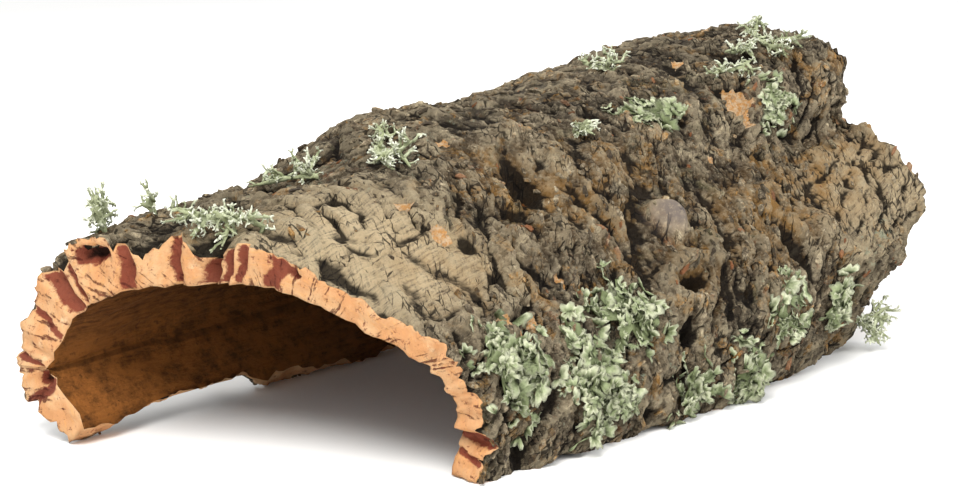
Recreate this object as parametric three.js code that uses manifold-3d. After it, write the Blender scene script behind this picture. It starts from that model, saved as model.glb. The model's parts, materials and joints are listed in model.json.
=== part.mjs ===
// Arched slab of virgin cork bark, with the lichens that grow on it.
// Millimetres, +Z up. X runs along the tunnel, from the sawn mouth at -X to the broken back at +X.
// On the skin, u runs from the mouth (0) to the back (1), and v from the left foot (0, +Y)
// over the crown to the right foot (1, -Y).
import * as THREE from "three";
import { ImprovedNoise } from "three/addons/math/ImprovedNoise.js";
import Module from "manifold-3d";

// Form of the slab: the outer skin of five cross-sections, as [y, z] points from the left to the right foot.
const SECTIONS = [
  [[84, 0], [109, 26], [101, 56], [83, 78], [47, 88], [10, 90],
    [-22, 81], [-52, 66], [-73, 55], [-85, 40], [-90, 20], [-88, 0]],
  [[78, 0], [104, 32], [99, 65], [80, 90], [46, 102], [6, 104],
    [-34, 92], [-58, 77], [-78, 60], [-93, 42], [-100, 20], [-98, 0]],
  [[72, 0], [98, 38], [98, 74], [80, 99], [46, 113], [4, 116],
    [-36, 105], [-62, 87], [-84, 66], [-102, 45], [-112, 22], [-109, 0]],
  [[70, 0], [96, 40], [98, 79], [80, 106], [46, 121], [2, 125],
    [-42, 114], [-64, 88], [-88, 74], [-111, 56], [-118, 26], [-111, 0]],
  [[68, 0], [95, 42], [97, 82], [80, 111], [44, 131], [-6, 141],
    [-58, 127], [-65, 97], [-88, 96], [-115, 68], [-112, 34], [-102, 0]],
];
// Where the wall begins and ends along X, and how thick it is there, at each point of those outlines.
const MOUTH_X = [0, -2, 0, 3, 8, 16, 27, 36, 42, 47, 50, 50];
const BACK_X = [352, 358, 364, 376, 392, 406, 414, 396, 386, 384, 360, 336];
const MOUTH_WALL = [15, 19, 21, 22, 20, 19, 15, 12, 12, 13, 17, 18];
const BACK_WALL = [12, 14, 15, 16, 17, 17, 16, 15, 15, 15, 14, 12];

// Faces of the solid: steps along the tunnel, around the skin, and around the inside.
const STEPS = { along: 72, around: 42, inside: 12 };

// Bark relief, in mm: soft lumps, a coarser grain, and fissures that run round the trunk.
const LUMP = { height: 4, size: 34 };
const GRAIN = { height: 1.7, size: 13 };
const FISSURE = { depth: 4.2, spacing: 21, share: 0.42, wander: 0.9, wanderSize: 46 };
const RAGGED = { mouth: 2.5, back: 6, reach: 0.05, size: 9 };
const FOOT_LIFT = { height: 3, above: 0.08, size: 26 };
const LEFT_FOOT_GAP = { from: 12, to: 114, slope: 26, height: 11 };
const INNER_WAVE = { height: 1.2, size: 24 };
const CUT_ROUGHNESS = 1.8;

// Single marks on the skin: centre in u and v, half-length along X, half-width around, height (minus is a hollow).
const MARKS = [
  { what: "cleft", u: 0.335, v: 0.545, along: 8, around: 17, height: -9 },
  { what: "lip over the cleft", u: 0.41, v: 0.487, along: 15, around: 8, height: 6 },
  { what: "hole under the cleft", u: 0.265, v: 0.585, along: 7, around: 7, height: -6 },
  { what: "boss", u: 0.283, v: 0.49, along: 11, around: 10, height: 5 },
  { what: "hump of the crown", u: 0.4, v: 0.37, along: 36, around: 30, height: 11 },
  { what: "dip of the crown", u: 0.225, v: 0.35, along: 22, around: 26, height: -7 },
  { what: "smooth knob", u: 0.483, v: 0.677, along: 10, around: 14, height: 8 },
  { what: "brow over the eye", u: 0.45, v: 0.745, along: 15, around: 6, height: 5 },
  { what: "eye hole", u: 0.45, v: 0.782, along: 9, around: 6, height: -7 },
  { what: "lid under the eye", u: 0.43, v: 0.815, along: 12, around: 6, height: 4 },
  { what: "hollow in the flank", u: 0.415, v: 0.855, along: 11, around: 8, height: -6 },
  { what: "ridge of the flank", u: 0.725, v: 0.81, along: 10, around: 20, height: 6 },
  { what: "heart scar", u: 0.767, v: 0.562, along: 8, around: 11, height: -3 },
  { what: "fold at the foot", u: 0.19, v: 0.975, along: 6, around: 16, height: 5 },
  { what: "slanting notch in the mouth", u: 0, v: 0.365, along: 18, around: 6, height: -8 },
  { what: "tooth of the mouth", u: 0, v: 0.4, along: 12, around: 5, height: 4 },
  { what: "notch in the mouth", u: 0, v: 0.43, along: 16, around: 4, height: -10 },
];

// Shrubby lichens fork from a foot on the skin: reach and number of the stems, the way they lean, fan out and rise.
const TUFTS = [
  { name: "lichen_twig_corner", u: 0.035, v: 0.295, reach: 19, stems: 4, lean: [-0.2, 0, 0.5], fan: 0.9, rise: 0.5 },
  { name: "lichen_twig_small", u: 0.085, v: 0.315, reach: 9, stems: 2, lean: [-0.2, 0.1, 0.5], fan: 0.9, rise: 0.4 },
  { name: "lichen_mouth", u: 0.06, v: 0.415, reach: 27, stems: 4, lean: [-0.7, -0.25, 0], fan: 1.4, rise: 0.1 },
  { name: "lichen_crest", u: 0.235, v: 0.39, reach: 32, stems: 2, lean: [0, 0.9, 0], fan: 0.5, rise: -0.2 },
  { name: "lichen_crown", u: 0.285, v: 0.425, reach: 27, stems: 4, lean: [0.1, -0.3, 0], fan: 2.2, rise: -0.2 },
  { name: "lichen_ridge", u: 0.755, v: 0.41, reach: 20, stems: 3, lean: [0.2, -0.1, 0], fan: 1.8, rise: 0.1 },
  { name: "lichen_back_top", u: 0.92, v: 0.49, reach: 27, stems: 4, lean: [-0.1, -0.6, 0], fan: 1.8, rise: -0.3 },
  { name: "lichen_strand", u: 0.81, v: 0.505, reach: 17, stems: 2, lean: [-0.4, -0.7, 0], fan: 1.2, rise: 0 },
  { name: "lichen_speck", u: 0.483, v: 0.515, reach: 12, stems: 2, lean: [0.3, -0.8, 0], fan: 1.4, rise: 0.1 },
  { name: "lichen_back_foot", u: 0.89, v: 0.95, reach: 19, stems: 4, lean: [0.6, -0.3, 0], fan: 1, rise: 0.6 },
];
// Leafy lichens lie on the skin: radius and lobes of the sheet, and the small leaves that stand on it.
const ROSETTES = [
  { name: "lichen_leaf_mouth", u: 0.078, v: 0.805, radius: 17, lobes: 8, leaves: 2 },
  { name: "lichen_leaf_flank", u: 0.215, v: 0.9, radius: 18, lobes: 8, leaves: 2 },
  { name: "lichen_leaf_high", u: 0.3, v: 0.79, radius: 15, lobes: 7, leaves: 1 },
  { name: "lichen_leaf_chip", u: 0.19, v: 0.795, radius: 7, lobes: 4, leaves: 0 },
  { name: "lichen_leaf_foot", u: 0.415, v: 0.945, radius: 10, lobes: 5, leaves: 0 },
  { name: "lichen_leaf_low", u: 0.545, v: 0.945, radius: 12, lobes: 5, leaves: 1 },
  { name: "lichen_leaf_hollow", u: 0.61, v: 0.875, radius: 12, lobes: 5, leaves: 0 },
  { name: "lichen_leaf_back", u: 0.75, v: 0.895, radius: 13, lobes: 6, leaves: 1 },
  { name: "lichen_leaf_crown", u: 0.615, v: 0.53, radius: 13, lobes: 6, leaves: 1 },
  { name: "lichen_leaf_scar", u: 0.825, v: 0.58, radius: 11, lobes: 5, leaves: 0 },
];
const STRAP = { width: 2.8, thickness: 1.3, taper: 0.45, forks: 1, shortening: 0.85, narrowing: 0.85, opening: 0.5 };
const LEAF = { thickness: 1.1, lift: 1.9, sink: 1.2, notch: 0.62, ruffle: 0.5, step: 2.2, large: 8, span: 340 };
const ROOT = { depth: 2, height: 3.2, width: 3.6 };
const CLEARANCE = 0.4;

const BARK_COLOUR = 0x6f6250;
const LICHEN_COLOUR = 0xa9b795;
const SEED = 20;

const wasm = await Module();
wasm.setup();
const perlin = new ImprovedNoise();
const { lerp, clamp, smoothstep, seededRandom } = THREE.MathUtils;

// Noise in space, about -1 to 1, with features of the given size. The offset tells one use from another.
function noise(point, size, offset = 0) {
  return perlin.noise(point.x / size + offset, point.y / size + 2.3 * offset, point.z / size - 1.7 * offset);
}

// A random number between two limits, from the seeded draw.
function draw(low, high) {
  return lerp(low, high, seededRandom());
}

// A value given at each point of an outline, read between them at v.
function across(values, v) {
  const place = clamp(v, 0, 1) * (values.length - 1);
  const low = Math.min(Math.floor(place), values.length - 2);
  return lerp(values[low], values[low + 1], place - low);
}

// The trunk's form without its bark: a smooth sheet through the sections.
const sectionCurves = SECTIONS.map((outline, s) => {
  const share = s / (SECTIONS.length - 1);
  const points = outline.map(([y, z], i) => new THREE.Vector3(lerp(MOUTH_X[i], BACK_X[i], share), y, z));
  return new THREE.CatmullRomCurve3(points, false, "centripetal");
});

function sheetLine(v) {
  return new THREE.CatmullRomCurve3(sectionCurves.map((curve) => curve.getPoint(v)), false, "centripetal");
}

// The sheet's outward normal, from the directions along the tunnel and around it.
function sheetNormal(u, v) {
  const step = 0.004;
  const uLow = clamp(u - step, 0, 1 - 2 * step);
  const vLow = clamp(v - step, 0, 1 - 2 * step);
  const line = sheetLine(vLow);
  const here = line.getPoint(uLow);
  const along = line.getPoint(uLow + 2 * step).sub(here);
  const around = sheetLine(vLow + 2 * step).getPoint(uLow).sub(here);
  return around.cross(along).normalize();
}

const markCentres = MARKS.map((mark) => sheetLine(mark.v).getPoint(mark.u));

// Height of the bark over the sheet at one of its points.
function relief(point) {
  const lumps = LUMP.height * noise(point, LUMP.size) + GRAIN.height * noise(point, GRAIN.size, 5);
  const field = point.x / FISSURE.spacing + FISSURE.wander * noise(point, FISSURE.wanderSize, 9);
  const fromCrack = Math.abs(2 * (field - Math.floor(field)) - 1);
  const open = 0.65 + 0.5 * noise(point, FISSURE.wanderSize, 13);
  const cracks = -FISSURE.depth * open * (1 - smoothstep(fromCrack, 0, FISSURE.share));
  const marks = MARKS.reduce((sum, mark, i) => {
    const away = point.clone().sub(markCentres[i]);
    const along = away.x / mark.along;
    const around = Math.hypot(away.y, away.z) / mark.around;
    return sum + mark.height * Math.exp(-along * along - around * around);
  }, 0);
  return lumps + cracks + marks;
}

// How far the ragged ends stand forward or back, fading into the wall.
function ragged(point, u) {
  const mouth = RAGGED.mouth * clamp(1 - u / RAGGED.reach, 0, 1);
  const back = RAGGED.back * clamp(1 - (1 - u) / RAGGED.reach, 0, 1);
  return (mouth + back) * noise(point, RAGGED.size, 21);
}

// The feet lie on the ground in some places and are broken away above it in others.
function footLift(point) {
  const chips = FOOT_LIFT.height * Math.max(0, noise(point, FOOT_LIFT.size, 31) - FOOT_LIFT.above);
  if (point.y < 0) return chips;
  const { from, to, slope, height } = LEFT_FOOT_GAP;
  return chips + height * smoothstep(point.x, from, from + slope) * (1 - smoothstep(point.x, to - slope, to));
}

// The outer skin as a grid of points and normals, with grow added to the bark's height.
function makeSkin(grow = 0) {
  const points = [];
  const normals = [];
  for (let j = 0; j <= STEPS.around; j++) {
    const v = j / STEPS.around;
    const line = sheetLine(v);
    const isFoot = j === 0 || j === STEPS.around;
    for (let i = 0; i <= STEPS.along; i++) {
      const u = i / STEPS.along;
      const base = line.getPoint(u);
      const normal = sheetNormal(u, v);
      const point = base.clone().addScaledVector(normal, relief(base) + grow);
      point.x += ragged(base, u);
      point.z = isFoot ? footLift(base) : Math.max(point.z, footLift(base) + 1);
      points.push(point);
      normals.push(normal);
    }
  }
  return { points, normals, index: (i, j) => j * (STEPS.along + 1) + i };
}

// Point and normal of the skin anywhere between its grid points.
function skinAt(skin, u, v) {
  const place = [clamp(u, 0, 1) * STEPS.along, clamp(v, 0, 1) * STEPS.around];
  const i = Math.min(Math.floor(place[0]), STEPS.along - 1);
  const j = Math.min(Math.floor(place[1]), STEPS.around - 1);
  const between = (list) => {
    const low = list[skin.index(i, j)].clone().lerp(list[skin.index(i + 1, j)], place[0] - i);
    const high = list[skin.index(i, j + 1)].clone().lerp(list[skin.index(i + 1, j + 1)], place[0] - i);
    return low.lerp(high, place[1] - j);
  };
  return { point: between(skin.points), normal: between(skin.normals).normalize() };
}

// The inside of the wall at one step along the tunnel, from the right foot back to the left one.
function insideLine(i, skin) {
  const u = i / STEPS.along;
  const line = [];
  for (let j = STEPS.inside; j >= 0; j--) {
    const v = j / STEPS.inside;
    const base = sheetLine(v).getPoint(u);
    const wall = lerp(across(MOUTH_WALL, v), across(BACK_WALL, v), u);
    const wave = INNER_WAVE.height * noise(base, INNER_WAVE.size, 41);
    const point = base.clone().addScaledVector(sheetNormal(u, v), wave - wall);
    point.x += ragged(base, u);
    if (j === 0) point.z = skin.points[skin.index(i, 0)].z;
    if (j === STEPS.inside) point.z = skin.points[skin.index(i, STEPS.around)].z;
    line.push(point);
  }
  return line;
}

// Triangles of a strip between two rows of vertex numbers that run the same way.
function strip(left, right, triangles) {
  let a = 0;
  let b = 0;
  while (a < left.length - 1 || b < right.length - 1) {
    const leftFirst = (a + 1) / (left.length - 1) <= (b + 1) / (right.length - 1);
    if (leftFirst) triangles.push(left[a], left[++a], right[b]);
    else triangles.push(left[a], right[b + 1], right[b++]);
  }
}

// The rough face of one end, from the skin's edge over a middle row to the inside edge.
function endFace(ring, vertices, add) {
  const pointAt = (n) => new THREE.Vector3().fromArray(vertices, 3 * n);
  const inside = [...ring.inside].reverse();
  const middle = inside.map((n, k) => {
    const outer = ring.outside[Math.round((k / STEPS.inside) * STEPS.around)];
    const point = pointAt(n).lerp(pointAt(outer), 0.5);
    point.x += CUT_ROUGHNESS * noise(point, RAGGED.size, 51);
    return add(point);
  });
  const face = [];
  strip(ring.outside, middle, face);
  strip(middle, inside, face);
  face.push(ring.outside[0], middle[0], inside[0]);
  face.push(ring.outside[STEPS.around], inside[STEPS.inside], middle[STEPS.inside]);
  return face;
}

// The whole slab as one closed surface: a ring of skin and inside at each step, and a face at each end.
function slabGeometry(skin) {
  const vertices = [];
  const add = (point) => vertices.push(point.x, point.y, point.z) / 3 - 1;
  const rings = [];
  for (let i = 0; i <= STEPS.along; i++) {
    const outside = [];
    for (let j = 0; j <= STEPS.around; j++) outside.push(add(skin.points[skin.index(i, j)]));
    rings.push({ outside, inside: insideLine(i, skin).map(add) });
  }
  const loops = rings.map((ring) => [...ring.outside, ...ring.inside, ring.outside[0]]);
  const triangles = [];
  for (let i = 0; i < STEPS.along; i++) {
    for (let k = 0; k < loops[i].length - 1; k++) {
      triangles.push(loops[i][k], loops[i][k + 1], loops[i + 1][k + 1]);
      triangles.push(loops[i][k], loops[i + 1][k + 1], loops[i + 1][k]);
    }
  }
  triangles.push(...endFace(rings[0], vertices, add).reverse());
  triangles.push(...endFace(rings[STEPS.along], vertices, add));
  return closedGeometry(vertices, triangles);
}

function closedGeometry(vertices, triangles) {
  const geometry = new THREE.BufferGeometry();
  geometry.setAttribute("position", new THREE.Float32BufferAttribute(vertices, 3));
  geometry.setIndex(triangles);
  return geometry;
}

function solidOf(geometry) {
  const vertProperties = geometry.getAttribute("position").array;
  const triVerts = new Uint32Array(geometry.index.array);
  return new wasm.Manifold(new wasm.Mesh({ numProp: 3, vertProperties, triVerts }));
}

function geometryOf(solid) {
  const { vertProperties, triVerts } = solid.getMesh();
  return closedGeometry(Array.from(vertProperties), Array.from(triVerts));
}

// One strap of a shrubby lichen: lens-shaped in section, tapering along the points to a tip.
function strapSolid(points, face, width) {
  const vertices = [];
  const triangles = [];
  const last = points.length - 1;
  for (let k = 0; k < last; k++) {
    const along = points[k + 1].clone().sub(points[Math.max(k - 1, 0)]).normalize();
    const side = along.clone().cross(face).normalize();
    const up = side.clone().cross(along);
    const taper = 1 - STRAP.taper * (k / last);
    const corners = [[side, width / 2], [up, STRAP.thickness / 2], [side, -width / 2], [up, -STRAP.thickness / 2]];
    for (const [way, half] of corners) {
      vertices.push(...points[k].clone().addScaledVector(way, half * taper).toArray());
    }
  }
  vertices.push(...points[last].toArray());
  triangles.push(0, 1, 2, 0, 2, 3);
  for (let k = 0; k < last; k++) {
    for (let c = 0; c < 4; c++) {
      const [a, b] = [4 * k + c, 4 * k + ((c + 1) % 4)];
      if (k === last - 1) triangles.push(a, 4 * last, b);
      else triangles.push(a, b + 4, b, a, a + 4, b + 4);
    }
  }
  return solidOf(closedGeometry(vertices, triangles));
}

// Keeps a point above the bark, by the nearest point of the skin that isn't at an open end.
function aboveSkin(point, skin, height) {
  let nearest = 0;
  let least = Infinity;
  skin.points.forEach((other, n) => {
    const distance = point.distanceToSquared(other);
    if (distance < least) [nearest, least] = [n, distance];
  });
  const step = nearest % (STEPS.along + 1);
  if (step === 0 || step === STEPS.along) return point;
  const over = point.clone().sub(skin.points[nearest]).dot(skin.normals[nearest]);
  return over < height ? point.addScaledVector(skin.normals[nearest], height - over) : point;
}

// Grows one strap and the two that fork from it, and theirs in turn.
function growStrap(start, heading, length, width, fork, skin, straps) {
  const face = new THREE.Vector3(draw(-1, 1), draw(-1, 1), draw(-1, 1)).cross(heading).normalize();
  const isTip = fork === STRAP.forks;
  const joints = isTip ? 2 : 3;
  const points = [start];
  const way = heading.clone();
  for (let k = 0; k < joints; k++) {
    way.addScaledVector(face, draw(-0.25, 0.25)).normalize();
    const next = points[k].clone().addScaledVector(way, length / joints);
    points.push(fork === 0 && k === 0 ? next : aboveSkin(next, skin, 1 + width / 2));
  }
  straps.push(strapSolid(points, face, width));
  if (isTip) return;
  const knee = points[2].clone().lerp(points[1], 0.15);
  for (const turn of [-1, 1]) {
    const branch = way.clone().applyAxisAngle(face, turn * STRAP.opening * draw(0.7, 1.4));
    growStrap(knee, branch, length * STRAP.shortening, width * STRAP.narrowing, fork + 1, skin, straps);
  }
}

function tuftSolid(tuft, skin) {
  const { point, normal } = skinAt(skin, tuft.u, tuft.v);
  const foot = point.clone().addScaledVector(normal, ROOT.height / 2);
  const lean = new THREE.Vector3(...tuft.lean).normalize();
  const stalk = [-ROOT.depth, 0, ROOT.height].map((height) => point.clone().addScaledVector(normal, height));
  const straps = [strapSolid(stalk, new THREE.Vector3(1, 0, 0), ROOT.width)];
  for (let stem = 0; stem < tuft.stems; stem++) {
    const turn = (stem / tuft.stems) * 2 * Math.PI + draw(0, 0.8);
    const side = new THREE.Vector3(1, 0, 0).cross(normal).normalize();
    const outward = new THREE.Vector3(Math.cos(turn), 0, 0).addScaledVector(side, Math.sin(turn));
    const heading = lean.clone().addScaledVector(outward, tuft.fan * draw(0.5, 1));
    heading.addScaledVector(normal, tuft.rise);
    const length = tuft.reach * draw(0.55, 0.75);
    growStrap(foot, heading.normalize(), length, STRAP.width, 0, skin, straps);
  }
  return wasm.Manifold.union(straps);
}

// One lobed leaf draped on the skin round u and v, standing off by raise, and sunk at its middle.
function leafSolid(u, v, radius, lobes, raise, skin) {
  const step = 0.01;
  const perU = skinAt(skin, u + step, v).point.distanceTo(skinAt(skin, u - step, v).point) / (2 * step);
  const perV = skinAt(skin, u, v + step).point.distanceTo(skinAt(skin, u, v - step).point) / (2 * step);
  const top = [];
  const under = [];
  const place = (share, angle, reach, height) => {
    const du = (reach * share * Math.cos(angle)) / perU;
    const dv = (reach * share * Math.sin(angle)) / perV;
    const { point, normal } = skinAt(skin, u + du, v + dv);
    const bottom = share === 0 ? raise - LEAF.sink : height - LEAF.thickness;
    top.push(point.clone().addScaledVector(normal, height));
    under.push(point.clone().addScaledVector(normal, bottom));
  };
  const start = draw(0, 2 * Math.PI);
  const spokes = Array.from({ length: 3 * lobes }, (_, k) => ({
    angle: start + ((k + draw(-0.2, 0.2)) / (3 * lobes)) * 2 * Math.PI,
    reach: radius * (k % 3 === 2 ? LEAF.notch : 1) * draw(0.8, 1.1),
    ruffle: LEAF.ruffle * draw(-1, 1),
  }));
  const rings = radius > LEAF.large ? [0.35, 0.7, 1] : [0.55, 1];
  place(0, 0, 0, LEAF.thickness + raise);
  for (const share of rings) {
    for (const spoke of spokes) {
      const height = LEAF.thickness + raise + LEAF.lift * Math.sqrt(share) + share * spoke.ruffle;
      place(share, spoke.angle, spoke.reach, height);
    }
  }
  const count = top.length;
  const vertices = [...top, ...under].flatMap((point) => point.toArray());
  const triangles = [];
  const both = (a, b, c) => triangles.push(a, b, c, a + count, c + count, b + count);
  for (let k = 0; k < spokes.length; k++) {
    const next = (k + 1) % spokes.length;
    both(0, 1 + next, 1 + k);
    for (let r = 0; r < rings.length - 1; r++) {
      const first = 1 + r * spokes.length;
      both(first + k, first + next, first + next + spokes.length);
      both(first + k, first + next + spokes.length, first + k + spokes.length);
    }
    const [a, b] = [count - spokes.length + k, count - spokes.length + next];
    triangles.push(a, b, b + count, a, b + count, a + count);
  }
  return solidOf(closedGeometry(vertices, triangles));
}

// A leafy lichen: one lobed sheet on the skin, and smaller leaves that stand on it.
function rosetteSolid(rosette, skin) {
  const leaves = [leafSolid(rosette.u, rosette.v, rosette.radius, rosette.lobes, 0, skin)];
  for (let k = 0; k < rosette.leaves; k++) {
    const turn = (k / rosette.leaves) * 2 * Math.PI + draw(0, 1);
    const away = 0.45 * rosette.radius;
    const u = rosette.u + (away * Math.cos(turn)) / LEAF.span;
    const v = rosette.v + (away * Math.sin(turn)) / LEAF.span;
    leaves.push(leafSolid(u, v, 0.45 * rosette.radius * draw(0.8, 1.2), 3, LEAF.step, skin));
  }
  return wasm.Manifold.union(leaves);
}

// A lichen clear of the bark, without the scraps that the cut leaves.
function trimmed(lichen, cutter) {
  const pieces = lichen.subtract(cutter).decompose();
  return pieces.reduce((best, piece) => (piece.volume() > best.volume() ? piece : best));
}

function meshOf(name, geometry, material) {
  const mesh = new THREE.Mesh(geometry, material);
  mesh.name = name;
  return mesh;
}

const bark = new THREE.MeshStandardMaterial({ color: BARK_COLOUR, roughness: 0.95, metalness: 0 });
const lichen = new THREE.MeshStandardMaterial({ color: LICHEN_COLOUR, roughness: 0.9, metalness: 0 });
const skin = makeSkin();
const cutter = solidOf(slabGeometry(makeSkin(CLEARANCE)));
const slab = new THREE.Group();
seededRandom(SEED);
slab.add(meshOf("cork_bark", slabGeometry(skin), bark));
for (const tuft of TUFTS) {
  slab.add(meshOf(tuft.name, geometryOf(trimmed(tuftSolid(tuft, skin), cutter)), lichen));
}
for (const rosette of ROSETTES) {
  slab.add(meshOf(rosette.name, geometryOf(trimmed(rosetteSolid(rosette, skin), cutter)), lichen));
}

// The origin is under the middle of the whole piece, on the ground.
const box = new THREE.Box3().setFromObject(slab);
slab.position.set(-(box.min.x + box.max.x) / 2, -(box.min.y + box.max.y) / 2, -box.min.z);

export default slab;
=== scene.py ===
"""Cork bark slab: an arched half-tube of virgin cork bark and the lichens that grow on it.

Lengths in the bark's own measures are in millimetres, with x = 0 at the left foot of the mouth, as in the
part's source. They are moved into the frame, in metres, where a mesh is made. On the skin, u runs from the
mouth (0) to the back (1), and v from the left foot (0) over the crown to the right foot (1).
"""

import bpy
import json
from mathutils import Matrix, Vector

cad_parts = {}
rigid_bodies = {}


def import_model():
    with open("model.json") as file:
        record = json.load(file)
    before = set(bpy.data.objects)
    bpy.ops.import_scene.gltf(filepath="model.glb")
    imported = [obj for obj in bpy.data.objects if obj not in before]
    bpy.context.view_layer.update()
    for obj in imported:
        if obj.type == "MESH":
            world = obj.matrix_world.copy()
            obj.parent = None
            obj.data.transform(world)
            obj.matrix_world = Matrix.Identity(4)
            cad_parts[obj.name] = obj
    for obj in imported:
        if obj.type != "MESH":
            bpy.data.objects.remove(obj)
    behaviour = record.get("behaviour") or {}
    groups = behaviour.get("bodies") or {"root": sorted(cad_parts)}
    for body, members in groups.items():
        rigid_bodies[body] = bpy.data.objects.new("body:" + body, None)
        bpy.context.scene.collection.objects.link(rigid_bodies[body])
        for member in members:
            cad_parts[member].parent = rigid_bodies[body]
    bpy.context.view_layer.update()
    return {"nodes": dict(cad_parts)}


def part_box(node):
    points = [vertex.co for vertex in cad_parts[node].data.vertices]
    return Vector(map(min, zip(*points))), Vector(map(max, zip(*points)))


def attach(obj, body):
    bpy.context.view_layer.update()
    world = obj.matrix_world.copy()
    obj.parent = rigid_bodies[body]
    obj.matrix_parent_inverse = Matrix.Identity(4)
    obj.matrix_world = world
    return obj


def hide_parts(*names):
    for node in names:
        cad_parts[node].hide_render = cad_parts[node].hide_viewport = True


bl_info = {
    "name": "Cork Bark Slab",
    "version": (1, 0, 0),
    "blender": (4, 5, 0),
    "location": "3D View > Sidebar > Cork Bark",
    "description": "Makes a slab of cork bark, the lichens on it and a plain stage",
    "category": "Add Mesh",
}

import itertools
import json
import math

import bpy
import numpy as np
from mathutils import Vector
from mathutils.bvhtree import BVHTree

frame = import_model()
MM = 0.001
# Nothing lies lower than this, in metres: the floor is at 0
LOWEST = 0.0
# How far single leaves grow out over the bark from a leafy lichen, in metres
SKIRT = 0.013

# Form of the slab: the outer skin of five cross-sections, as (y, z) points from the left to the right foot
SECTIONS = (
    ((84, 0), (109, 26), (101, 56), (83, 78), (47, 88), (10, 90),
     (-22, 81), (-52, 66), (-73, 55), (-85, 40), (-90, 20), (-88, 0)),
    ((78, 0), (104, 32), (99, 65), (80, 90), (46, 102), (6, 104),
     (-34, 92), (-58, 77), (-78, 60), (-93, 42), (-100, 20), (-98, 0)),
    ((72, 0), (98, 38), (98, 74), (80, 99), (46, 113), (4, 116),
     (-36, 105), (-62, 87), (-84, 66), (-102, 45), (-112, 22), (-109, 0)),
    ((70, 0), (96, 40), (98, 79), (80, 106), (46, 121), (2, 125),
     (-42, 114), (-64, 88), (-88, 74), (-111, 56), (-118, 26), (-111, 0)),
    ((68, 0), (95, 42), (97, 82), (80, 111), (44, 131), (-6, 141),
     (-58, 127), (-65, 97), (-88, 96), (-115, 68), (-112, 34), (-102, 0)),
)
MOUTH_X = (0, -2, 0, 3, 8, 16, 27, 36, 42, 47, 50, 50)
BACK_X = (352, 358, 364, 376, 392, 406, 414, 396, 386, 384, 360, 336)
MOUTH_WALL = (15, 19, 21, 22, 20, 19, 15, 12, 12, 13, 17, 18)
BACK_WALL = (12, 14, 15, 16, 17, 17, 16, 15, 15, 15, 14, 12)
LEFT_FOOT_GAP = {"from": 12, "to": 114, "slope": 26, "height": 11}
LOW_CORNER = (-4.354, -119.203, 0)

# Quads of the bark: along the tunnel and around the skin (even numbers), and across the cut wall
STEPS = {"along": 290, "around": 240, "across": 10}

# The grain slants: over this many mm along the tunnel for each mm down the flank
SLANT = 0.6
CROWN_ROUNDING = 15

# Marks on the skin: centre in u and v, half-length along x and half-width around in mm, and height
MARKS = (
    {"what": "depth of the cleft", "u": 0.352, "v": 0.535, "along": 4, "around": 11, "height": -10},
    {"what": "lip over the cleft", "u": 0.40, "v": 0.486, "along": 12, "around": 4.5, "height": 6},
    {"what": "side of the cleft", "u": 0.395, "v": 0.545, "along": 5, "around": 11, "height": 6},
    {"what": "ochre wall of the cleft", "u": 0.318, "v": 0.53, "along": 5, "around": 10, "height": 3.5},
    {"what": "hole under the cleft", "u": 0.28, "v": 0.571, "along": 4, "around": 4, "height": -8.5},
    {"what": "knot of the boss", "u": 0.283, "v": 0.49, "along": 9, "around": 8, "height": 2},
    {"what": "depth of the eye", "u": 0.455, "v": 0.782, "along": 8, "around": 3, "height": -10},
    {"what": "brow over the eye", "u": 0.458, "v": 0.75, "along": 12, "around": 3.2, "height": 6},
    {"what": "lid under the eye", "u": 0.435, "v": 0.806, "along": 9, "around": 3, "height": 5},
    {"what": "hollow in the flank", "u": 0.415, "v": 0.85, "along": 7, "around": 6, "height": -7},
    {"what": "ridge of the flank", "u": 0.69, "v": 0.775, "along": 4, "around": 11, "height": 6},
    {"what": "foot of the ridge", "u": 0.755, "v": 0.85, "along": 4, "around": 13, "height": 6},
    {"what": "furrow by the ridge", "u": 0.665, "v": 0.81, "along": 4, "around": 16, "height": -6.5},
    {"what": "pit behind the chip", "u": 0.185, "v": 0.59, "along": 4, "around": 6, "height": -6},
    {"what": "hole between the chips", "u": 0.137, "v": 0.735, "along": 4, "around": 4, "height": -6},
    {"what": "pit in the far crown", "u": 0.86, "v": 0.49, "along": 6, "around": 6, "height": -6},
    {"what": "pit over the lichens", "u": 0.53, "v": 0.82, "along": 6, "around": 9, "height": -6},
    {"what": "crack by the knob", "u": 0.42, "v": 0.64, "along": 3, "around": 20, "height": -6},
    {"what": "splinter by the knob", "u": 0.395, "v": 0.645, "along": 3, "around": 16, "height": 5},
    {"what": "second splinter", "u": 0.36, "v": 0.655, "along": 3, "around": 15, "height": 4.5},
    {"what": "crack between splinters", "u": 0.378, "v": 0.66, "along": 2.5, "around": 14, "height": -4.5},
    {"what": "crack behind the knob", "u": 0.51, "v": 0.70, "along": 8, "around": 2.6, "height": -6},
)
KNOB = {"u": 0.472, "v": 0.682, "along": 8, "around": 10, "height": 4.5}

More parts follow.
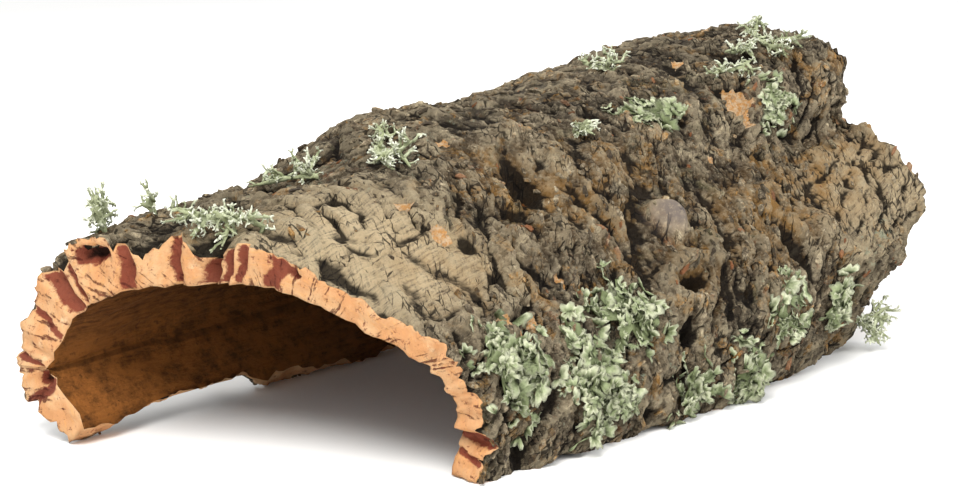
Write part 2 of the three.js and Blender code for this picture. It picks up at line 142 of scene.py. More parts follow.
# Places where the bark is chipped off down to fresh cork: centre, half sizes in mm, and how many sides
CHIPS = (
    {"u": 0.77, "v": 0.552, "along": 9, "around": 7, "sides": 5},
    {"u": 0.757, "v": 0.575, "along": 6, "around": 9, "sides": 5},
    {"u": 0.819, "v": 0.463, "along": 5, "around": 3, "sides": 4},
    {"u": 0.164, "v": 0.567, "along": 4, "around": 5, "sides": 5},
    {"u": 0.117, "v": 0.725, "along": 4, "around": 3.5, "sides": 5},
    {"u": 0.158, "v": 0.745, "along": 3.5, "around": 4.5, "sides": 4},
    {"u": 0.131, "v": 0.757, "along": 3, "around": 2.5, "sides": 4},
    {"u": 0.339, "v": 0.458, "along": 3.5, "around": 2, "sides": 4},
    {"u": 0.178, "v": 0.511, "along": 4, "around": 2, "sides": 4},
    {"u": 0.655, "v": 0.62, "along": 2, "around": 5, "sides": 4},
    {"u": 0.25, "v": 0.7, "along": 1.6, "around": 5, "sides": 4},
    {"u": 0.965, "v": 0.42, "along": 5, "around": 3, "sides": 5},
    {"u": 0.6, "v": 0.2, "along": 4, "around": 5, "sides": 5},
    {"u": 0.3, "v": 0.13, "along": 3, "around": 4, "sides": 4},
    {"u": 0.85, "v": 0.25, "along": 4, "around": 3, "sides": 5},
)

# Bands of dark red pores that cross the sawn mouth: place in v, half-width in v, depth in mm
GROOVES = (
    {"v": 0.05, "half": 0.006, "depth": 1.7},
    {"v": 0.115, "half": 0.005, "depth": 1.7},
    {"v": 0.175, "half": 0.004, "depth": 1.1},
    {"v": 0.228, "half": 0.010, "depth": 2.8},
    {"v": 0.256, "half": 0.007, "depth": 2.2},
    {"v": 0.338, "half": 0.007, "depth": 2.8},
    {"v": 0.394, "half": 0.006, "depth": 2.8},
    {"v": 0.434, "half": 0.009, "depth": 9.0},
    {"v": 0.455, "half": 0.005, "depth": 3.3},
    {"v": 0.474, "half": 0.005, "depth": 2.2},
    {"v": 0.512, "half": 0.010, "depth": 2.8},
    {"v": 0.925, "half": 0.014, "depth": 4.4},
    {"v": 0.965, "half": 0.006, "depth": 2.2},
)
# Hollows in the sawn face: centre and half sizes, in v and in shares of the wall from skin to inside
DENTS = (
    {"v": 0.298, "half": 0.022, "across": 0.27, "deep": 0.13, "depth": 8},
    {"v": 0.062, "half": 0.009, "across": 0.8, "deep": 0.14, "depth": 6},
    {"v": 0.53, "half": 0.005, "across": 0.3, "deep": 0.1, "depth": 4},
)
# How far a facet of the sawn face stands forward or back, and how far it tilts, in mm
FACET = {"stand": 0.9, "tilt": 1.2}

# Where warm dust gathers and where thin crusts grow: strength, centre in u and v, and half sizes. The third
# warm zone is painted light: ochre that lightens a part of the skin which its relief leaves in shade
WARM_ZONES = (
    (1.0, (0.76, 0.725), (0.25, 0.06)),
    (0.9, (0.325, 0.545), (0.045, 0.05)),
    # Painted light: lightens a middle part of the skin that its relief shades
    (0.6, (0.42, 0.6), (0.12, 0.07)),
    (0.7, (0.45, 0.785), (0.05, 0.04)),
    (0.4, (0.12, 0.6), (0.08, 0.06)),
)
CRUST_ZONES = (
    (1.0, (0.86, 0.84), (0.07, 0.045)),
    (0.6, (0.28, 0.4), (0.16, 0.09)),
    (0.5, (0.3, 0.85), (0.3, 0.12)),
)


def frame_shift():
    """What to add, in metres, to the bark's own measures to reach the frame."""
    low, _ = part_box("cork_bark")
    return np.array(low) - np.array(LOW_CORNER) * MM


SHIFT = frame_shift()


def to_frame(points):
    return np.asarray(points) * MM + SHIFT


# Random numbers and noise, the same on every run


def scramble(*cells, seed=0):
    """A random number from 0 to 1 for each set of whole-number cell places."""
    mixed = np.zeros(np.broadcast(*cells).shape, dtype=np.uint64) + np.uint64(1 + 7919 * seed)
    for cell in cells:
        whole = np.asarray(cell).astype(np.int64).astype(np.uint64)
        mixed = (mixed ^ whole) * np.uint64(0x9E3779B97F4A7C15)
        mixed = mixed ^ (mixed >> np.uint64(31))
    mixed = mixed * np.uint64(0xBF58476D1CE4E5B9)
    return (mixed >> np.uint64(40)).astype(float) / 2**24


def ease(low, high, values):
    """0 below low and 1 above high, with a smooth rise between."""
    share = np.clip((values - low) / (high - low), 0, 1)
    return share * share * (3 - 2 * share)


def lumps(points, size, seed=0):
    """Smooth random heights from -1 to 1, with lumps of about the given size, in 2 or 3 dimensions."""
    place = points / size
    corner = np.floor(place)
    part = place - corner
    part = part * part * part * (part * (6 * part - 15) + 10)
    total = 0
    for offset in itertools.product((0, 1), repeat=points.shape[-1]):
        weight = np.prod(np.where(offset, part, 1 - part), axis=-1)
        cells = [corner[..., k] + offset[k] for k in range(points.shape[-1])]
        total = total + weight * scramble(*cells, seed=seed)
    return 2 * total - 1


def rough(points, size, octaves, seed=0):
    """Lumps on lumps: each octave has half the size and half the height of the one before."""
    return sum(lumps(points + 31.7 * k, size / 2**k, seed + k) / 2**k for k in range(octaves))


def plates(along, around, seed):
    """Cells of broken bark, one unit each way: how far each place is from a crack, and its cell's number."""
    low_along = np.floor(along)
    low_around = np.floor(around)
    nearest = np.full(along.shape, 9.0)
    second = np.full(along.shape, 9.0)
    own = np.zeros(along.shape)
    for step_along, step_around in itertools.product((-1, 0, 1), repeat=2):
        cell = (low_along + step_along, low_around + step_around)
        centre_along = cell[0] + 0.1 + 0.8 * scramble(*cell, seed=seed)
        centre_around = cell[1] + 0.1 + 0.8 * scramble(*cell, seed=seed + 1)
        away = np.hypot(along - centre_along, around - centre_around)
        closer = away < nearest
        second = np.where(closer, nearest, np.minimum(second, away))
        own = np.where(closer, scramble(*cell, seed=seed + 2), own)
        nearest = np.where(closer, away, nearest)
    return second - nearest, own


def terraces(field, riser):
    """A smooth field cut into level steps, one unit high, whose risers take up the given share."""
    level = np.floor(field)
    return level + ease(0, riser, field - level)


def blurred(grid, reach):
    """The grid smoothed both ways by a bell curve, reach steps wide."""
    half = int(math.ceil(2.5 * reach))
    bell = np.exp(-0.5 * (np.arange(-half, half + 1) / reach) ** 2)
    bell = bell / bell.sum()
    for axis in (0, 1):
        padding = [(half, half) if k == axis else (0, 0) for k in range(2)]
        wide = np.pad(grid, padding, mode="edge")
        grid = np.apply_along_axis(lambda line: np.convolve(line, bell, mode="valid"), axis, wide)
    return grid


# The trunk's form without its bark


def smooth_curves(points, places):
    """Smooth curves through points (count, curves, 3), read at places from 0 to 1: (places, curves, 3)."""
    first = 2 * points[:1] - points[1:2]
    last = 2 * points[-1:] - points[-2:-1]
    padded = np.concatenate([first, points, last])
    where = np.clip(places, 0, 1) * (len(points) - 1)
    span = np.minimum(np.floor(where).astype(int), len(points) - 2)
    part = (where - span)[:, None, None]
    before, start, end, after = (padded[span + k] for k in range(4))

    def gap(a, b):
        return np.maximum(np.sqrt(np.linalg.norm(b - a, axis=-1, keepdims=True)), 1e-6)

    gaps = (gap(before, start), gap(start, end), gap(end, after))
    leave = (start - before) / gaps[0] - (end - before) / (gaps[0] + gaps[1]) + (end - start) / gaps[1]
    reach = (end - start) / gaps[1] - (after - start) / (gaps[1] + gaps[2]) + (after - end) / gaps[2]
    leave = leave * gaps[1]
    reach = reach * gaps[1]
    square = -3 * start + 3 * end - 2 * leave - reach
    cube = 2 * start - 2 * end + leave + reach
    return start + part * (leave + part * (square + part * cube))


def unit(vectors):
    return vectors / np.linalg.norm(vectors, axis=-1, keepdims=True)


def sheet(u, v):
    """The smooth sheet at every u and v, as (len(v), len(u), 3), and its outward normals."""
    outlines = np.zeros((len(SECTIONS[0]), len(SECTIONS), 3))
    for s, outline in enumerate(SECTIONS):
        share = s / (len(SECTIONS) - 1)
        outlines[:, s, 0] = (1 - share) * np.array(MOUTH_X) + share * np.array(BACK_X)
        outlines[:, s, 1:] = outline
    rows = smooth_curves(outlines, v)
    points = smooth_curves(rows.transpose(1, 0, 2), u).transpose(1, 0, 2)
    normals = np.cross(np.gradient(points, axis=0), np.gradient(points, axis=1))
    return points, unit(normals)


def wall_thickness(u, v):
    places = np.linspace(0, 1, len(MOUTH_WALL))
    mouth = np.interp(v, places, MOUTH_WALL)[:, None]
    back = np.interp(v, places, BACK_WALL)[:, None]
    return mouth * (1 - u) + back * u


def foot_lift(x, y):
    """Height of the foot's edge over the ground: part of the left foot is broken away."""
    gap = LEFT_FOOT_GAP
    rise = ease(gap["from"], gap["from"] + gap["slope"], x)
    fall = 1 - ease(gap["to"] - gap["slope"], gap["to"], x)
    return np.where(y > 0, gap["height"] * rise * fall, 0)


# Relief of the skin


def at_mark(grid, mark):
    """The value of a grid nearest to a mark's centre."""
    rows, columns = grid.shape[:2]
    return grid[int(round(mark["v"] * (rows - 1))), int(round(mark["u"] * (columns - 1)))]


def mark_distance(points, mark):
    """Distance from a mark's centre, in its own half sizes."""
    away = points - at_mark(points, mark)
    around = np.hypot(away[..., 1], away[..., 2])
    return np.hypot(away[..., 0] / mark["along"], around / mark["around"])


def zone(u, v, centre, half, power=4):
    """1 in the middle of a zone of the skin, fading to 0 at its border."""
    along = np.abs((u - centre[0]) / half[0])
    around = np.abs((v - centre[1]) / half[1])
    return np.exp(-(along**power) - around**power)


def chip_depth(flat, points):
    """How far each place is inside the edge of a chip, in mm, or minus how far outside."""
    depth = np.full(points.shape[:2], -6.0)
    for number, chip in enumerate(CHIPS):
        away = flat - at_mark(flat, chip)
        inside = np.full(depth.shape, 99.0)
        for side in range(chip["sides"]):
            cell = (np.array(side), np.array(number))
            turn = (side + 0.5 * float(scramble(*cell, seed=7))) / chip["sides"]
            way = np.array([math.cos(2 * math.pi * turn), math.sin(2 * math.pi * turn)])
            reach = np.hypot(*(way * (chip["along"], chip["around"])))
            reach = reach * (0.7 + 0.45 * float(scramble(*cell, seed=8)))
            inside = np.minimum(inside, reach - away @ way)
        depth = np.maximum(depth, inside + 0.5 * lumps(points, 3, 61))
    return depth


def skin_relief(points, u, v, height, settings):
    """The bark's fine relief in mm, over the solid's own height, and what the material needs to know."""
    along = points[..., 0]
    steps = np.linalg.norm(np.diff(points, axis=0), axis=-1)
    around = np.concatenate([np.zeros((1, len(u))), np.cumsum(steps, axis=0)])
    around = around - around[int(0.45 * len(v))]
    slant = along + SLANT * np.hypot(around, CROWN_ROUNDING)
    u, v = np.broadcast_arrays(u[None, :], v[:, None])
    flat = np.stack([along, around], axis=-1)

    # Broad pale plates behind the mouth, and a smooth knob: little crumb on either
    pale = zone(u, v, (0.08, 0.55), (0.125, 0.135))
    knob = np.exp(-mark_distance(points, KNOB) ** 4)
    crumb = (1 - 0.8 * pale) * (1 - knob)

    # Layers of bark that have weathered back in steps
    sway = 7 * lumps(points, 38, 3) + 3 * lumps(points, 13, 4) + 1.5 * lumps(points, 5, 8)
    drift = 6 * lumps(points, 30, 5)
    grain = np.stack([slant + sway, 0.4 * (around + drift)], axis=-1)
    relief = settings.plate_step * terraces(1.9 * rough(grain, 15, 3, 9), 0.25) * (1 - 0.7 * pale)

    # Plates, long around the trunk, that lie at different heights with cracks between
    gap, own = plates((slant + sway) / 12.5, (around + drift) / 42, 11)
    opened = np.clip(0.55 + 0.7 * lumps(points, 34, 6), 0.12, 1.2)
    relief = relief + 1.4 * (2 * own - 1) * ease(0, 0.14, gap)
    relief = relief - settings.crack_depth * opened * (1 - ease(0, 0.04 + 0.12 * opened, gap))
    small_gap, small_own = plates((slant + 0.6 * sway) / 5, (around + 0.7 * drift) / 14, 21)
    relief = relief + crumb * (0.8 * (2 * small_own - 1) - 1.5 * (1 - ease(0, 0.26, small_gap)))
    grit_gap, grit_own = plates((slant + sway) / 2.9, around / 5, 25)
    grit = 1.4 * grit_own - 0.7 - 0.8 * (1 - ease(0, 0.4, grit_gap))
    relief = relief + crumb * settings.crumb_height * grit
    ridged = 1 - 2 * np.abs(lumps(points, 9, 31))
    relief = relief + 0.9 * crumb * ridged + 0.7 * (1 - knob) * (1 - 0.6 * pale) * lumps(points, 17, 41)

    # Long ridges that run along the far lobe
    lobe = zone(u, v, (0.9, 0.775), (0.16, 0.085))
    comb = np.abs((around + 0.25 * along + 9 * lumps(points, 26, 51)) / 12 % 1 - 0.5) * 2
    relief = relief * (1 - 0.5 * lobe) + lobe * 2.2 * (ease(0, 0.4, comb) - 0.8)

    for mark in MARKS:
        relief = relief + mark["height"] * np.exp(-mark_distance(points, mark) ** 2)
    relief = relief * (1 - knob) + KNOB["height"] * knob

    chip = chip_depth(flat, points)
    inside = ease(-0.3, 0.6, chip)
    relief = relief * (1 - 0.8 * inside) - 1.6 * inside

    whole = height + relief
    hollow = whole - blurred(whole, 3.0) + 0.5 * (whole - blurred(whole, 9))
    warm = sum(strength * zone(u, v, centre, half, 2) for strength, centre, half in WARM_ZONES)
    crust = sum(strength * zone(u, v, centre, half, 2) for strength, centre, half in CRUST_ZONES)
    aged = zone(u, v, (0.6, 0.34), (0.5, 0.15), 2)
    facts = {
        "aged": aged,
        "hollow": hollow,
        "pale": np.maximum(pale, 0.75 * lobe),
        "knob": knob,
        "chip": chip,
        "warm": warm,
        "crust": crust,
        "shade": own,
        "crumb": crumb * (1 - inside) * (1 - 0.6 * lobe),
    }
    return relief, facts, np.stack([slant, around], axis=-1)


# The bark's mesh


def solid_tree(node):
    mesh = frame["nodes"][node].data
    corners = [vertex.co for vertex in mesh.vertices]
    faces = [tuple(polygon.vertices) for polygon in mesh.polygons]
    return BVHTree.FromPolygons(corners, faces)


def solid_height(points, normals):
    """Height of the solid's own skin over the sheet, in mm, by rays from outside."""
    tree = solid_tree("cork_bark")
    reach = 24
    start = to_frame(points + reach * normals)
    height = np.full(points.shape[:2], np.nan)
    for place in np.ndindex(height.shape):
        hit = tree.ray_cast(Vector(start[place]), Vector(-normals[place]), 2 * reach * MM)
        if hit[0] is not None:
            height[place] = reach - hit[3] / MM
    height = np.where(np.abs(height) > 16, np.nan, height)
    for column in range(1, height.shape[1]):
        lost = np.isnan(height[:, column])
        height[lost, column] = height[lost, column - 1]
    for column in range(height.shape[1] - 2, -1, -1):
        lost = np.isnan(height[:, column])
        height[lost, column] = height[lost, column + 1]
    return np.nan_to_num(height)


def ragged_ends(points, u):
    """How far the edges of the two ends stand forward or back along x, fading into the wall."""
    mouth = np.clip(1 - u / 0.05, 0, 1)
    back = np.clip(1 - (1 - u) / 0.06, 0, 1)
    return 2.2 * mouth * rough(points, 6, 4, 71) + 5.5 * back * rough(points, 11, 4, 72)


def groove_share(v, across):
    """How deep in a groove or hollow of the sawn mouth each place is, from 0 to 1, and its depth in mm."""
    wander = 0.008 * (across - 0.5) + 0.002 * np.sin(9 * across + 40 * v)
    share = np.zeros(np.broadcast(v, across).shape)
    depth = np.zeros(share.shape)
    for groove in GROOVES:
        bell = np.exp(-np.abs((v + wander - groove["v"]) / groove["half"]) ** 3)
        share = np.maximum(share, bell)
        depth = depth + groove["depth"] * bell
    for dent in DENTS:
        away = np.hypot((v - dent["v"]) / dent["half"], (across - dent["across"]) / dent["deep"])
        bell = np.exp(-(away**4))
        share = np.maximum(share, 1.6 * bell)
        depth = depth + dent["depth"] * bell
    return share, depth


def mouth_cut(v, across):
    """How far back the sawn face lies at v, across the wall from the skin (0) to the inside (1), in mm."""
    _, depth = groove_share(v, across)
    facet = np.searchsorted([groove["v"] for groove in GROOVES], v)
    stand = FACET["stand"] * (2 * scramble(facet, seed=73) - 1)
    tilt = FACET["tilt"] * (2 * scramble(facet, seed=74) - 1)
    return depth + stand + tilt * (across - 0.5)


def doubled(line):
    """A line of points with a middle point between each pair."""
    wide = np.repeat(line, 2, axis=0)[:-1]
    wide[1::2] = (line[:-1] + line[1:]) / 2
    return wide


def cell_corners(numbers):
    """The four corners of every cell in a grid of vertex numbers."""
    return [numbers[:-1, :-1], numbers[1:, :-1], numbers[1:, 1:], numbers[:-1, 1:]]


class Surface:
    """Vertices and faces of the bark as they are gathered."""

    def __init__(self):
        self.points = []
        self.count = 0
        self.faces = []
        self.kinds = []

    def add(self, points):
        """Adds a block of points and returns their numbers in the block's own shape."""
        flat = points.reshape(-1, 3)
        numbers = np.arange(self.count, self.count + len(flat)).reshape(points.shape[:-1])
        self.points.append(flat)
        self.count += len(flat)
        return numbers

    def quads(self, numbers, kind, flip=False):
        """Faces between neighbouring rows and columns of a block of vertex numbers."""
        corners = cell_corners(numbers)
        if flip:
            corners.reverse()
        faces = np.stack(corners, axis=-1).reshape(-1, 4)
        self.faces.extend(map(tuple, faces.tolist()))
        self.kinds.extend([kind] * len(faces))

    def zip(self, fine, coarse, kind, flip=False):
        """Triangles between a line of vertices and one with half as many."""
        for k in range(len(coarse) - 1):
            left, middle, right = fine[2 * k : 2 * k + 3].tolist()
            low, high = coarse[k : k + 2].tolist()
            for face in ((left, low, middle), (middle, low, high), (middle, high, right)):
                self.faces.append(face[::-1] if flip else face)
                self.kinds.append(kind)


SKIN, CUT, INSIDE = range(3)


def skin_points(base, normals, u, v, settings):
    """The outer skin, what its material needs to know, and its places laid flat."""
    height = blurred(solid_height(base, normals), 1.6)
    relief, facts, laid = skin_relief(base, u, v, height, settings)
    edge = np.minimum(ease(0, 0.03, v), ease(0, 0.03, 1 - v))[:, None]
    skin = base + normals * (height + relief * (0.4 + 0.6 * edge))[..., None]
    fade = np.clip(1 - u / 0.04, 0, 1) ** 2
    skin[..., 0] += ragged_ends(base, u) + fade * mouth_cut(v, np.zeros(len(v)))[:, None]
    lift = foot_lift(base[..., 0], base[..., 1])
    skin[..., 2] = np.maximum(skin[..., 2], lift + 0.4 + 3 * edge)
    for row in (0, -1):
        skin[row, :, 2] = lift[row] + np.maximum(0, 1.8 * rough(base[row], 9, 3, 81) - 0.4)
    return skin, facts, laid


def inside_points(base, normals, u, v, skin):
    """The tunnel's wall. The left foot is broken at a slant, with its inner edge higher than its outer."""
    wave = 0.9 * lumps(base, 24, 91) + 0.8 * rough(base * np.array([0.4, 1, 1]), 7, 3, 92)
    inside = base + normals * (wave - wall_thickness(u, v))[..., None]
    fade = np.clip(1 - u / 0.04, 0, 1) ** 2
    inside[..., 0] += ragged_ends(base, u) + fade * mouth_cut(v, np.ones(len(v)))[:, None]
    slope = np.clip(0.55 + 0.6 * rough(base[0], 16, 3, 93), 0.15, 1)
    inside[0, :, 2] = skin[0, ::2, 2] + slope * np.maximum(inside[0, :, 2] - skin[0, ::2, 2], 0)
    inside[-1, :, 2] = skin[-1, ::2, 2]
    inside[1:-1, :, 2] = np.maximum(inside[1:-1, :, 2], inside[0, :, 2] * (base[1:-1, :, 1] > 0) + 0.5)
    return inside


def bark_mesh(settings):
    """The slab as one closed mesh: skin, inside wall, cut ends and feet. Also the vertices of the mouth."""
    u = np.linspace(0, 1, STEPS["along"] + 1)
    v = np.linspace(0, 1, STEPS["around"] + 1)
    base, normals = sheet(u, v)
    skin, facts, laid = skin_points(base, normals, u, v, settings)
    inside = inside_points(base[::2, ::2], normals[::2, ::2], u[::2], v[::2], skin)

    surface = Surface()
    skin_numbers = surface.add(skin)
    inside_numbers = surface.add(inside)
    surface.quads(skin_numbers, SKIN)
    surface.quads(inside_numbers, INSIDE, flip=True)

    across = (np.arange(1, STEPS["across"]) / STEPS["across"])[:, None]
    bulge = np.sin(np.pi * across)
    ends = []
    for column in (0, -1):
        outer, inner = skin[:, column], doubled(inside[:, column])
        block = outer + across[..., None] * (inner - outer)
        if column == 0:
            cut = mouth_cut(v[None, :], across)
            outer_cut, inner_cut = mouth_cut(v, np.zeros(len(v))), mouth_cut(v, np.ones(len(v)))
            straight = outer_cut * (1 - across) + inner_cut * across
            block[..., 0] += cut - straight + bulge * 0.9 * rough(block, 5, 3, 95)
        else:
            block[..., 0] += bulge * (2.5 * rough(block, 9, 4, 96))
        ends.append(surface.add(block))
    for block, column in zip(ends, (0, -1)):
        flip = column != 0
        surface.quads(np.concatenate([skin_numbers[None, :, column], block]), CUT, flip)
        surface.zip(block[-1], inside_numbers[:, column], CUT, flip)

    for row in (0, -1):
        outer, inner = skin[row], doubled(inside[row])
        block = (outer + across[..., None] * (inner - outer))[:, 1:-1]
        ruffle = bulge * 1.5 * rough(block, 6, 3, 99)
        block[..., 2] = np.maximum(block[..., 2] + ruffle, 0)
        middle = surface.add(block)
        grid = np.concatenate([ends[0][:, row][:, None], middle, ends[1][:, row][:, None]], axis=1)
        surface.quads(np.concatenate([skin_numbers[None, row], grid]), CUT, flip=row == 0)
        surface.zip(grid[-1], inside_numbers[row], CUT, flip=row == 0)
    return surface, skin, facts, laid, ends[0]


def new_mesh(name, points, faces):
    mesh = bpy.data.meshes.new(name)
    mesh.from_pydata(points, [], faces)
    mesh.validate()
    return mesh


def shown(name, data):
    piece = bpy.data.objects.new(name, data)
    bpy.context.scene.collection.objects.link(piece)
    return piece


def give_attribute(mesh, name, values):
    attribute = mesh.attributes.new(name, "FLOAT", "POINT")
    attribute.data.foreach_set("value", np.asarray(values, dtype=np.float32).reshape(-1))


def read_attribute(mesh, name):
    values = np.zeros(len(mesh.vertices), dtype=np.float32)
    if name in mesh.attributes:
        mesh.attributes[name].data.foreach_get("value", values)
    return values


def smooth_shading(mesh):
    mesh.polygons.foreach_set("use_smooth", [True] * len(mesh.polygons))


# Materials


def linear(red, green, blue):
    """A colour given as 0 to 255 on screen, as the light values that Blender works in."""
    shares = (red / 255, green / 255, blue / 255)
    return tuple(s / 12.92 if s <= 0.04045 else ((s + 0.055) / 1.055) ** 2.4 for s in shares)


class Nodes:
    """A material's node tree, with short ways to add what the finishes here are made of."""

    def __init__(self, name):
        self.material = bpy.data.materials.new(name)
        self.material.use_nodes = True
        self.tree = self.material.node_tree
        self.shader = self.tree.nodes["Principled BSDF"]

    def add(self, kind, inputs=None, **settings):
        node = self.tree.nodes.new(kind)
        for name, value in settings.items():
            setattr(node, name, value)
        for name, value in (inputs or {}).items():
            self.set(node.inputs[name], value)
        return node

    def set(self, socket, value):
        if isinstance(value, bpy.types.NodeSocket):
            self.tree.links.new(value, socket)
        elif socket.type == "RGBA":
            socket.default_value = (*value, 1)
        else:
            socket.default_value = value

    def math(self, operation, first, second=0.0, clamp=False):
        node = self.add("ShaderNodeMath", {0: first, 1: second}, operation=operation, use_clamp=clamp)
        return node.outputs[0]

    def times(self, first, second, clamp=False):
        return self.math("MULTIPLY", first, second, clamp)

    def plus(self, first, second):
        return self.math("ADD", first, second)

    def minus(self, first, second):
        return self.math("SUBTRACT", first, second)

    def attribute(self, name):
        return self.add("ShaderNodeAttribute", attribute_name=name).outputs["Fac"]

    def object_place(self):
        return self.add("ShaderNodeTexCoord").outputs["Object"]

    def laid_flat(self, stretch=(1.0, 1.0)):
        """Places on the surface laid flat, each way divided by a stretch."""
        place = self.add("ShaderNodeUVMap", uv_map="laid flat").outputs[0]
        scale = (1 / stretch[0], 1 / stretch[1], 1.0)
        return self.add("ShaderNodeMapping", {"Vector": place, "Scale": scale}).outputs[0]

    def noise(self, place, size, detail=4.0, roughness=0.6, distortion=0.0):
        """Noise with features of the given size in metres."""
        inputs = {"Vector": place, "Scale": 1 / size, "Detail": detail, "Roughness": roughness}
        inputs["Distortion"] = distortion
        return self.add("ShaderNodeTexNoise", inputs).outputs["Fac"]

    def cracks(self, place, size):
        """Distance to the nearest border between cells of the given size in metres."""
        inputs = {"Vector": place, "Scale": 1 / size}
        return self.add("ShaderNodeTexVoronoi", inputs, feature="DISTANCE_TO_EDGE").outputs["Distance"]

    def between(self, value, low, high, to_low=0.0, to_high=1.0):
        """The value spread so that low becomes to_low and high becomes to_high, smoothly."""
        inputs = {"Value": value, "From Min": low, "From Max": high, "To Min": to_low, "To Max": to_high}
        return self.add("ShaderNodeMapRange", inputs, interpolation_type="SMOOTHSTEP").outputs[0]

    def mix(self, share, first, second, blend="MIX"):
        node = self.add("ShaderNodeMix", data_type="RGBA", blend_type=blend)
        self.set(node.inputs[0], share)
        self.set(node.inputs[6], first)
        self.set(node.inputs[7], second)
        return node.outputs[2]

    def graded(self, value, stops):
        """A colour for each value, from stops of (value, colour) in order."""
        node = self.add("ShaderNodeValToRGB", {"Fac": value})
        elements = node.color_ramp.elements
        while len(elements) < len(stops):
            elements.new(0.5)
        for element, (place, colour) in zip(elements, stops):
            element.position = place
            element.color = (*colour, 1)
        return node.outputs[0]

    def bump(self, height, distance, strength=1.0):
        inputs = {"Height": height, "Distance": distance, "Strength": strength}
        return self.add("ShaderNodeBump", inputs).outputs[0]

    def finish(self, colour, normal=None, roughness=0.9, specular=0.2):
        self.set(self.shader.inputs["Base Color"], colour)
        self.set(self.shader.inputs["Roughness"], roughness)
        self.set(self.shader.inputs["Specular IOR Level"], specular)
        if normal is not None:
            self.set(self.shader.inputs["Normal"], normal)
        return self.material


def bark_tint(nodes, colours, place):
    """Mottled bark: greys and browns in patches, with ochre, rust and green films, and fine grain."""
    mottle = nodes.noise(place, 0.0085, 8.0, 0.72, 0.3)
    stops = (
        (0.37, colours.bark_dark),
        (0.47, colours.bark),
        (0.54, colours.bark_light),
        (0.62, colours.plate),
    )
    colour = nodes.graded(mottle, stops)
    patch = nodes.between(nodes.noise(place, 0.04, 5.0, 0.65, 0.5), 0.4, 0.62)
    colour = nodes.mix(nodes.times(patch, 0.72), colour, colours.bark_dark)
    ochre = nodes.between(nodes.noise(place, 0.015, 7.0, 0.72, 0.6), 0.52, 0.62, 0.0, 0.75)
    colour = nodes.mix(ochre, colour, colours.ochre)
    rust = nodes.between(nodes.noise(place, 0.011, 7.0, 0.74, 0.4), 0.59, 0.67, 0.0, 0.65)
    colour = nodes.mix(rust, colour, colours.rust)
    green = nodes.between(nodes.noise(place, 0.021, 7.0, 0.7, 0.5), 0.54, 0.68, 0.0, 0.5)
    colour = nodes.mix(green, colour, colours.moss)
    fine = nodes.noise(place, 0.0021, 8.0, 0.75)
    colour = nodes.mix(nodes.between(fine, 0.52, 0.64, 0.0, 0.6), colour, colours.plate)
    colour = nodes.mix(nodes.between(fine, 0.48, 0.37, 0.0, 0.8), colour, colours.crack)
    return colour, fine, mottle


